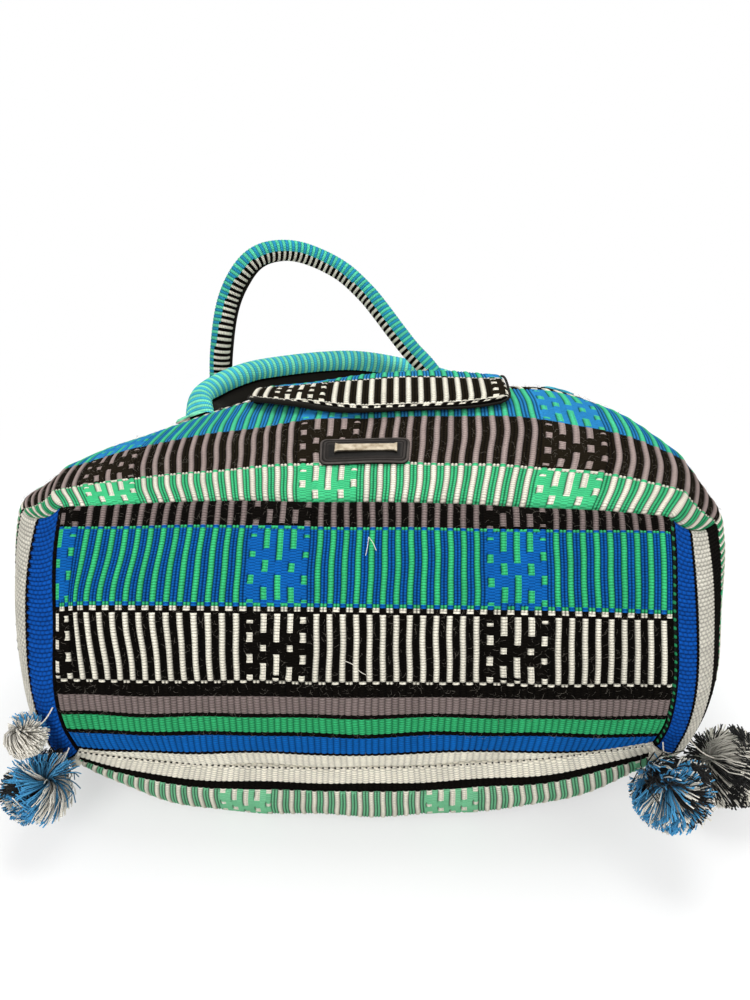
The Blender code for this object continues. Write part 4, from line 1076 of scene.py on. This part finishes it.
# Three loose ends of thread on the base: (metres from its middle, share of its height)
LOOSE_ENDS = (((0.004, 0.857), (0.0052, 0.88), (0.0058, 0.905)),
              ((0.0058, 0.905), (0.0090, 0.890), (0.0116, 0.871)),
              ((-0.009, 0.517), (-0.003, 0.505), (0.002, 0.480), (0.006, 0.466)))
LOOSE_POINTS = 24
for number, corners in enumerate(LOOSE_ENDS):
    way = np.linspace(0, len(corners) - 1, LOOSE_POINTS)
    places = along_knots(np.arange(len(corners)), corners, way)
    u, up = places[:, 0] / BASE_HALF_WIDTHS[0], places[:, 1]
    proud = 0.0016 + 0.0012 * np.sin(np.linspace(0, 3, LOOSE_POINTS))
    path = base_at(u, up) + outward(base_at, u, up) * proud[:, None]
    settle(tube_of("loose_end_%d" % (number + 1), path, 0.00022, 5, FINISH["white_cord"]), "base_cloth")

# Short loose hairs on the dark wool
for panel, density, seed in (("base", 46000.0, 31), ("front", 32000.0, 32)):
    bearer = placed(panel + "_loose_hairs", bpy.data.objects[panel + "_weave"].data.copy())
    settle(through(HAIRS, bearer, {"Density": density, "Length": 0.0042, "Hair Radius": 0.00006, "Seed": seed,
                                   "Finish": FINISH["hair"]}), panel + "_cloth")

# The lining: the source's inner bag, in cotton
lining = welded(placed("lining_cloth_bag", bpy.data.objects["lining"].data.copy()), FINISH["lining"], 1e-5)
smoothed(lining.data)
settle(lining, "lining_cloth", "lining")

# The flap, with its facing and its bound edge
FLAP_READ, FLAP_PAIRS, FLAP_FIRST = 801, 21.5, -0.27
FACING_THICK, FACING_ROWS, FACING_COLUMNS = 0.0009, 61, 21
flap_q = np.linspace(2, 0, FLAP_READ)
flap_line = arc(flap_at(np.zeros(FLAP_READ), flap_q)[0], 0)


def flap_rows(across):
    return straight_rows(row_lines(flap_line[-1], FLAP_BANDS), flap_line, flap_q, across)


def flap_spread(pairs):
    return (pairs - FLAP_FIRST) / (FLAP_PAIRS / 2) - 1


def flap_raised(share, q, height):
    point, normal = flap_at(share, q)
    return point + normal * height


def flap_outer(share, q):
    return flap_raised(share, q, FLAP_CLOTH)


def build_facing():
    """The thin cloth that covers the under side of the flap."""
    S, Q = np.meshgrid(np.linspace(-0.985, 0.985, FACING_COLUMNS), np.linspace(1.99, 0.01, FACING_ROWS))
    under = flap_raised(S, Q, FACING_THICK)
    top = under + flap_at(S, Q)[1] * FACING_THICK
    above = grid_faces(FACING_ROWS, FACING_COLUMNS, True) + FACING_ROWS * FACING_COLUMNS
    facing = placed("flap_facing", mesh_of(
        "flap_facing", np.concatenate([under.reshape(-1, 3), top.reshape(-1, 3)]),
        np.concatenate([grid_faces(FACING_ROWS, FACING_COLUMNS), above])))
    facing.data.materials.append(FINISH["lining"])
    settle(facing, "lining_cloth")
    return facing


def build_binding():
    """The black cord round the flap's two sides and its tip, thicker at the tip's left corner."""
    edge = [(-1.0, q) for q in np.linspace(0, 2, 130)] + [(s, 2.0) for s in np.linspace(-1, 1, 60)[1:-1]]
    edge = np.array(edge + [(1.0, q) for q in np.linspace(2, 0, 130)])
    line, normal = flap_at(*edge.T)
    line = line + normal * FLAP_CLOTH * 0.56
    away = unit(np.cross(np.gradient(line, axis=0), normal))
    low_left = smooth((0.35 - edge[:, 0]) / 0.7) * (edge[:, 1] > 1.99)
    cord = line + away * (PIPING + FIT_GAP) - away * 0.0016
    piping = tube_of("flap_binding", cord, PIPING - 0.0015 + 0.0012 * low_left, 10, FINISH["binding"])
    settle(piping, "black_cord", "flap_piping")
    return piping


flap = woven_panel("flap_weave", flap_outer, pair_lines(FLAP_FIRST, FLAP_FIRST + FLAP_PAIRS), flap_spread,
                   flap_rows, FLAP_BANDS, 4, 16, all_round(BOUND_TURN), all_round(FLAP_EDGE), body=-0.0006)
settle(flap, "flap_cloth", "flap")
facing, piping = build_facing(), build_binding()
flap_cut = (float(arc(flap_outer(np.linspace(-1, 1, 81), np.full(81, 1.0)), 0)[-1]), float(flap_line[-1]))

# The handles
RING_COLUMNS = (0.0, 0.125, 0.375, 0.5, 0.625, 0.875)
RING_HEIGHTS = {"Light Height": 0.0008, "Dark Height": 0.0006, "Light Share": 0.5}
RING_SHADE = 0.08
TWIST_AT = (0.0, 0.30, 0.44, 0.60, 0.80, 1.0)
FRONT_FACE, ARCH = np.array((0.0, -0.62, 0.78)), np.array((-0.045, 0.27, 0.16))
# Each handle: the panel it is sewn to, its route, which way its face looks, the angles (degrees) where its
# kinds of cloth start, its light and dark blue yarns, its rings' pitch, how far its grooves lie inside the
# source's solid, how many degrees the cloth is turned along it, and its seam allowance's angle and depths
# The front handle's two blue yarns are the back handle's mint and teal painted paler: painted light, where the
# front handle is lit from above
HANDLES = {
    "front": {"surface": front_at, "shape": HANDLE_FRONT,
              "towards": lambda p: np.broadcast_to(FRONT_FACE, p.shape),
              "sections": ((-93, "blue"), (90, "black"), (190, "check")), "blue": ("lit_mint", "lit_teal"),
              "pitch": 0.0082, "slimmer": 0.0009, "twist": (0, 0, 0, 0, 0, 0), "seed": 21, "seam_angle": 112,
              "seam": (0.003, 0.0152, 0.0155, 0.012, 0.009, 0.005, 0.002, 0.0)},
    "back": {"surface": back_at, "shape": HANDLE_BACK, "towards": lambda p: unit(p - ARCH),
             "sections": ((-93, "check"), (-80, "blue"), (76, "check")), "blue": ("mint", "teal"),
             "pitch": 0.0066, "slimmer": 0.0022, "twist": (-26, -26, 24, 12, -2, -4), "seed": 22,
             "seam_angle": 178, "seam": (0.0, 0.0030, 0.0034, -0.001, -0.004, -0.004, -0.004, -0.004)}}


def handle_paint(handle, total):
    """Yarn by the angle round the handle: a blue and green part, a black and cream one, and black."""
    shades = 1 + np.random.default_rng(handle["seed"]).uniform(-RING_SHADE, RING_SHADE, DRAWN)
    starts = np.array([s[0] for s in handle["sections"]])
    names = np.array([s[1] for s in handle["sections"]])
    bright, deep = handle["blue"]

    def paint(pair, run):
        stripe = np.floor(pair).astype(int)
        light = pair - stripe < 0.5
        angle = np.degrees(run / HANDLE_RADIUS) - np.interp(pair / total, TWIST_AT, handle["twist"])
        kind = names[np.clip(np.searchsorted(starts, angle, side="right") - 1, 0, None)]
        is_blue, is_black = (kind == "blue")[..., None], (kind == "black")[..., None]
        lights = np.where(is_blue, YARN[bright], YARN["cream"])
        darks = np.where(is_blue, YARN[deep], YARN["black"])
        colour = np.where(is_black, YARN["black"], np.where(light[..., None], lights, darks))
        kinds = {"raised": light * 0.4, "split": np.ones(pair.shape), "flat": np.zeros(pair.shape)}
        return colour * shades[(2 * stripe + light) % DRAWN][..., None], kinds
    return paint


def handle_path(surface, root_x, root_rows, route):
    """The handle's points from root to root, and the panel's normals at its two roots."""
    ends = []
    for side in (-1.0, 1.0):
        u = np.array([side * root_x / abs(surface(1.0, t)[0]) for t in root_rows])
        t = np.array(root_rows)
        normal = outward(surface, u, np.minimum(t, 0.998))
        ends.append((surface(u, t) + normal * (RIB + FIT_GAP + TONGUE_THICK / 2), normal))
    return np.concatenate([ends[0][0], np.array(route), ends[1][0][::-1]]), ends[0][1], ends[1][1][::-1]


def build_handle(name, handle):
    """A rolled handle with rings of ridges, flattened where its ends are sewn down."""
    points, left, right = handle_path(handle["surface"], *handle["shape"])
    last = len(points) - 1
    knots, fine = np.linspace(0, 1, len(points)), np.linspace(0, 1, 1201)
    length = arc(along_knots(knots, points, fine), 0)
    total = round(length[-1] / handle["pitch"])
    pairs = pair_lines(0.0, float(total), RING_COLUMNS)
    t = np.interp(pairs / total * length[-1], length, fine)
    centre = along_knots(knots, points, t)
    before = along_knots(knots, points, np.maximum(0, t - 0.004))
    after = along_knots(knots, points, np.minimum(1, t + 0.004))
    way = unit(after - before)
    place = t * last
    end = np.minimum(place, last - place)
    # its section goes from a flat tongue to a round
    near_left = along_knots(np.arange(3), left, np.minimum(place, 2))
    near_right = along_knots(np.arange(3), right, np.clip(place - (last - 2), 0, 2))
    root = np.where((t < 0.5)[:, None], near_left, near_right)
    wide = unit(np.cross(way, root))
    thick = unit(np.cross(wide, way))
    freed = smooth((end - 1.0) / 3.0)[:, None]
    free = handle["towards"](centre) * freed + root * (1 - freed)
    face = unit(free - way * np.sum(free * way, -1, keepdims=True))
    across = np.cross(way, face)
    rounded = smooth((end - 1.5) / 1.8)
    a = TONGUE_WIDE / 2 + (HANDLE_RADIUS - TONGUE_WIDE / 2) * rounded
    b = TONGUE_THICK / 2 + (HANDLE_RADIUS - TONGUE_THICK / 2) * rounded
    ends_in = np.minimum(np.arange(len(t)), np.arange(len(t))[::-1])
    close = np.select([ends_in == 0, ends_in == 1, ends_in == 2], [0.0, 0.72, 0.93], 1.0)
    angles = np.radians(np.linspace(-92, 268, 41))
    turn = angles[:, None, None]
    way_round = np.cos(turn) * face + np.sin(turn) * across
    r = 1 / np.sqrt((np.sum(way_round * wide, -1) / a) ** 2 + (np.sum(way_round * thick, -1) / b) ** 2)
    grid = centre + way_round * ((r - handle["slimmer"]) * close)[..., None]
    # its cloth
    pair, run = np.broadcast_arrays(pairs[None, :], (angles * HANDLE_RADIUS)[:, None])
    paint = handle_paint(handle, total)
    quads = grid_faces(*pair.shape)
    mesh = mesh_of("handle_" + name + "_weave", grid.reshape(-1, 3), quads)
    dressed(mesh, pair, run, paint(middles(pair), middles(run))[0], paint(pair + INTO_PAIR, run)[1],
            np.broadcast_to(np.clip(ends_in / 6, 0, 1), pair.shape), quads)
    mended(mesh, dissolve=False)
    woven = through(RIDGES, placed(mesh.name, mesh), {"Finish": FINISH["woven"], **RING_HEIGHTS})
    settle(woven, "handle_cloth", "handle_" + name)
    steps = np.linspace(0.11, 0.86, 140)
    build_seam_allowance(name, handle, steps, *(read_at(steps, t, v) for v in (centre, way, face, across)))


def build_seam_allowance(name, handle, steps, spine, heading, face, across):
    """The black strip of cloth under a handle."""
    angle, depths = math.radians(handle["seam_angle"]), handle["seam"]
    out = math.cos(angle) * face + math.sin(angle) * across
    depth = np.interp(steps, np.linspace(steps[0], steps[-1], len(depths)), depths)[:, None]
    flat = 0.0009 * unit(np.cross(heading, out))
    inner = spine + out * (HANDLE_RADIUS - 0.007)
    outer = spine + out * (HANDLE_RADIUS - handle["slimmer"] + depth)
    corners = (inner + flat, outer + flat, outer + out * 0.0006, outer - flat, inner - flat, inner + flat)
    ring = np.stack(corners, 1)
    ring = np.concatenate([np.repeat(ring[:1].mean(1, keepdims=True), 6, 1), ring,
                           np.repeat(ring[-1:].mean(1, keepdims=True), 6, 1)])
    mesh = mesh_of("handle_seam", ring.reshape(-1, 3), grid_faces(*ring.shape[:2]))
    settle(welded(placed("handle_" + name + "_seam", mesh), FINISH["binding"]), "handle_cloth")


for name, handle in HANDLES.items():
    build_handle(name, handle)

# The label
RIM_POINTS, QUARTER_STEPS = 96, 6
# The patch from its edge inwards, with its stitched groove: (metres inside the edge, metres above the seat)
LABEL_LOOPS = ((0.0, 0.0), (0.0, 0.0011), (0.0004, 0.0016), (0.0011, 0.0018), (0.0019, 0.0018),
               (0.0022, 0.0013), (0.0026, 0.0013), (0.0029, 0.0018), (0.0044, 0.0018), (0.0047, 0.0014),
               (0.0050, 0.0014), (0.0053, 0.0017), (0.0075, 0.0017), (0.0100, 0.0017), (0.0128, 0.0017))
LABEL_SEAT = RIB + FIT_GAP


def rounded_outline(half_wide, half_high, radius):
    """A rectangle with round corners, as evenly spaced points, the first one again at the end."""
    points = []
    for quarter, (sx, sy) in enumerate(((1, 1), (-1, 1), (-1, -1), (1, -1))):
        for k in range(QUARTER_STEPS + 1):
            angle = math.pi / 2 * (quarter + k / QUARTER_STEPS)
            points.append((sx * (half_wide - radius) + radius * math.cos(angle),
                           sy * (half_high - radius) + radius * math.sin(angle)))
    rim = np.array(points + points[:1])
    walk = arc(rim, 0)
    evenly = read_at(np.linspace(0, walk[-1], RIM_POINTS + 1)[:-1], walk, rim)
    return np.concatenate([evenly, evenly[:1]])


def on_front(flat):
    """Places on the label's own plane (across, up, above), laid on the front panel."""
    step = 1e-3
    wide = np.linalg.norm(front_at(step, LABEL_ROW) - front_at(-step, LABEL_ROW)) / (2 * step)
    high = np.linalg.norm(front_at(0.0, LABEL_ROW + step) - front_at(0.0, LABEL_ROW - step)) / (2 * step)
    u, t = flat[..., 0] / wide, LABEL_ROW + flat[..., 1] / high
    point = front_at(u, t)
    return point + outward(front_at, u, t) * (flat[..., 2:] + sway(point))


def build_patch():
    """The leather patch, worn along its edge."""
    loops, wear = [], []
    for inset, height in LABEL_LOOPS:
        rim = rounded_outline(LABEL_SIZE[0] / 2 - inset, LABEL_SIZE[1] / 2 - inset,
                              max(LABEL_CORNER - inset * 0.7, 0.0004))
        loops.append(on_front(np.concatenate([rim, np.full((len(rim), 1), LABEL_SEAT + height)], 1)))
        outer_edge, upper = 0 < inset < 0.0015, inset < 0.006 and height > 0.0015
        wear.append(np.full(len(rim), 1.0 if outer_edge else (0.35 if upper else 0.0)))
    points = np.array(loops)
    mesh = mesh_of("label_leather_patch", points.reshape(-1, 3), grid_faces(*points.shape[:2]))
    leather = placed("label_leather_patch", mesh)
    mark(mesh, "wear", np.array(wear))
    with edited(mesh) as bm:
        bmesh.ops.remove_doubles(bm, verts=bm.verts, dist=MERGE)
        bmesh.ops.holes_fill(bm, edges=[e for e in bm.edges if e.is_boundary], sides=0)
        bmesh.ops.recalc_face_normals(bm, faces=bm.faces)
    mesh.materials.append(FINISH["leather"])
    settle(leather, "black_leather", "label_leather")


def build_bar():
    """The plain metal bar on the label, with its two flared ends."""
    half, high, flare = BAR_SIZE[0] / 2, BAR_SIZE[1] / 2, BAR_FLARE
    top_line = ((half, high + flare), (half - 2 * flare, high), (2 * flare - half, high),
                (-half, high + flare))
    outline = top_line + tuple((x, -y) for x, y in top_line[::-1])
    here, out = front_at(0.0, LABEL_ROW), outward(front_at, 0.0, LABEL_ROW)
    up = unit(front_at(0.0, LABEL_ROW + 0.02) - front_at(0.0, LABEL_ROW - 0.02))
    aside = np.cross(up, out)
    height = LABEL_SEAT + LABEL_THICK + FIT_GAP * 0.5 + sway(here)
    low = here + up * BAR_RISE + aside * BAR_ASIDE + out * height
    mesh = bpy.data.meshes.new("label_plate")
    with edited(mesh) as bm:
        face = bm.faces.new([bm.verts.new(low + aside * x + up * y) for x, y in outline])
        grown = bmesh.ops.extrude_face_region(bm, geom=[face])
        verts = [v for v in grown["geom"] if isinstance(v, bmesh.types.BMVert)]
        bmesh.ops.translate(bm, verts=verts, vec=Vector(out * BAR_THICK))
        top_edges = [e for e in bm.edges if all(v in verts for v in e.verts)]
        bmesh.ops.bevel(bm, geom=top_edges, offset=0.0006, segments=3, affect="EDGES", profile=0.6)
        bmesh.ops.recalc_face_normals(bm, faces=bm.faces)
    mesh.materials.append(FINISH["metal"])
    settle(placed("label_plate", mesh), "champagne_metal", "label_bar")


build_patch()
build_bar()
for name in ("snap_socket", "snap_stud"):
    for slot in bpy.data.objects[name].material_slots:
        slot.material = FINISH["metal"]

# The pompoms and their ties
CORE_SHARE, THREAD_SHARE, THREAD_RADIUS = 0.40, 0.62, 0.00054
TIE_RADIUS, TIE_POINTS, TIE_TURN, TIE_SAG = 0.00030, 26, 22, 0.004


def build_pompom(name, centre, radius, sweep, yarn, threads, seed):
    core = bpy.data.meshes.new("pompom_" + name + "_threads")
    with edited(core) as bm:
        bmesh.ops.create_icosphere(bm, subdivisions=3, radius=radius * CORE_SHARE,
                                   matrix=Matrix.Translation(centre))
    ball = through(POMPOM, placed(core.name, core), {
        "Density": threads / (4 * math.pi * (radius * CORE_SHARE) ** 2), "Length": radius * THREAD_SHARE,
        "Thread Radius": THREAD_RADIUS, "Seed": seed, "Sweep": sweep, "Centre": centre,
        "Finish": FINISH[yarn]})
    smoothed(ball.data)
    settle(ball, "mixed_thread" if yarn == "mixed_yarn" else "blue_thread", "pompom_" + name)


def build_tie(name, centre, radius, down, along):
    """Three strands laid round each other, from the stitch on the gusset to the pompom."""
    side = -1.0 if name.startswith("left") else 1.0
    surface = functools.partial(gusset_at, side)
    stitch, normal = surface(down, along), outward(surface, down, along)
    towards = unit(stitch - centre)
    start = stitch + normal * (0.0013 * np.linalg.norm(np.cross(towards, normal)) + FIT_GAP)
    towards = unit(start - centre)
    end = centre + towards * radius * 0.5
    beside = unit(np.cross(towards, (0.2, 0.3, 0.9)))
    third = np.cross(towards, beside)
    way = np.linspace(0, 1, TIE_POINTS)
    strands = []
    for turn in (0.0, 2.1, 4.2):
        angle = way * TIE_TURN + turn
        twist = TIE_RADIUS * (np.cos(angle)[:, None] * beside + np.sin(angle)[:, None] * third)
        path = start + (end - start) * way[:, None] + twist
        path = path - np.array((0, 0, TIE_SAG)) * np.sin(math.pi * way)[:, None]
        strands.append(tube_of("strand", path, TIE_RADIUS, 6, FINISH["tie"]))
    settle(joined("tie_" + name, strands), "pale_thread", "pompom_tie_" + name)


for seed, (name, centre, radius, stitched_at, sweep, yarn, threads) in enumerate(POMPOMS, 5):
    build_pompom(name, centre, radius, sweep, yarn, threads, seed)
    build_tie(name, np.array(centre), radius, *stitched_at)

# The studio: a pale floor that keeps the bag's shadow and fades to white, a pale world and three soft lamps
FLOOR_HALF, FADE_FROM, FADE_TO, FADE_START = 12.0, 0.35, 0.95, 0.55
WORLD_STRENGTH, AIM = 0.42, Vector((0, 0, 0.15))
LAMPS = (("key", (-0.6, -1.4, 1.25), 0.9, 18.5), ("fill", (1.3, -0.9, 1.1), 1.2, 7.5),
         ("top", (0.1, 0.5, 1.8), 1.2, 27.0))    # place, size and watts


def seen_directly(tree):
    """1 for what the camera sees, by itself or in gloss or glass."""
    path = grow(tree, "ShaderNodeLightPath").outputs
    either = calc(tree, "MAXIMUM", path["Is Camera Ray"], path["Is Glossy Ray"])
    return calc(tree, "MAXIMUM", either, path["Is Transmission Ray"])


def build_floor():
    corners = np.array([(-1, -1, 0), (1, -1, 0), (1, 1, 0), (-1, 1, 0)]) * FLOOR_HALF
    mesh = mesh_of("floor", corners, np.array([[0, 1, 2, 3]]))
    material, tree, shader = new_finish("pale_floor", 0.9)
    shader.inputs["Base Color"].default_value = (0.9, 0.9, 0.9, 1.0)
    white = grow(tree, "ShaderNodeEmission", (1.0, 1.0, 1.0, 1.0), 1.0)
    from_middle = measured(tree, "LENGTH", object_place(tree))
    far = grow(tree, "ShaderNodeMapRange", from_middle, FADE_FROM, FADE_TO, FADE_START, 1.0,
               interpolation_type="SMOOTHSTEP")
    share = calc(tree, "MULTIPLY", seen_directly(tree), far.outputs[0])
    mixed = grow(tree, "ShaderNodeMixShader", share, shader.outputs[0], white.outputs[0])
    tree.links.new(mixed.outputs[0], tree.nodes["Material Output"].inputs["Surface"])
    mesh.materials.append(material)
    placed("studio_floor", mesh)


def build_light():
    world = bpy.data.worlds.new("studio")
    bpy.context.scene.world = world
    world.use_nodes = True
    tree = world.node_tree
    background = tree.nodes["Background"]
    background.inputs["Color"].default_value = (1.0, 1.0, 1.0, 1.0)
    tree.links.new(scaled(tree, seen_directly(tree), WORLD_STRENGTH, 1.0), background.inputs["Strength"])
    for name, place, size, energy in LAMPS:
        lamp = bpy.data.lights.new(name, "AREA")
        lamp.energy, lamp.size = energy, size
        light = placed(name, lamp)
        light.location = place
        light.rotation_euler = (AIM - Vector(place)).to_track_quat("-Z", "Y").to_euler()
    bpy.context.scene.view_settings.view_transform = "Standard"


build_floor()
build_light()
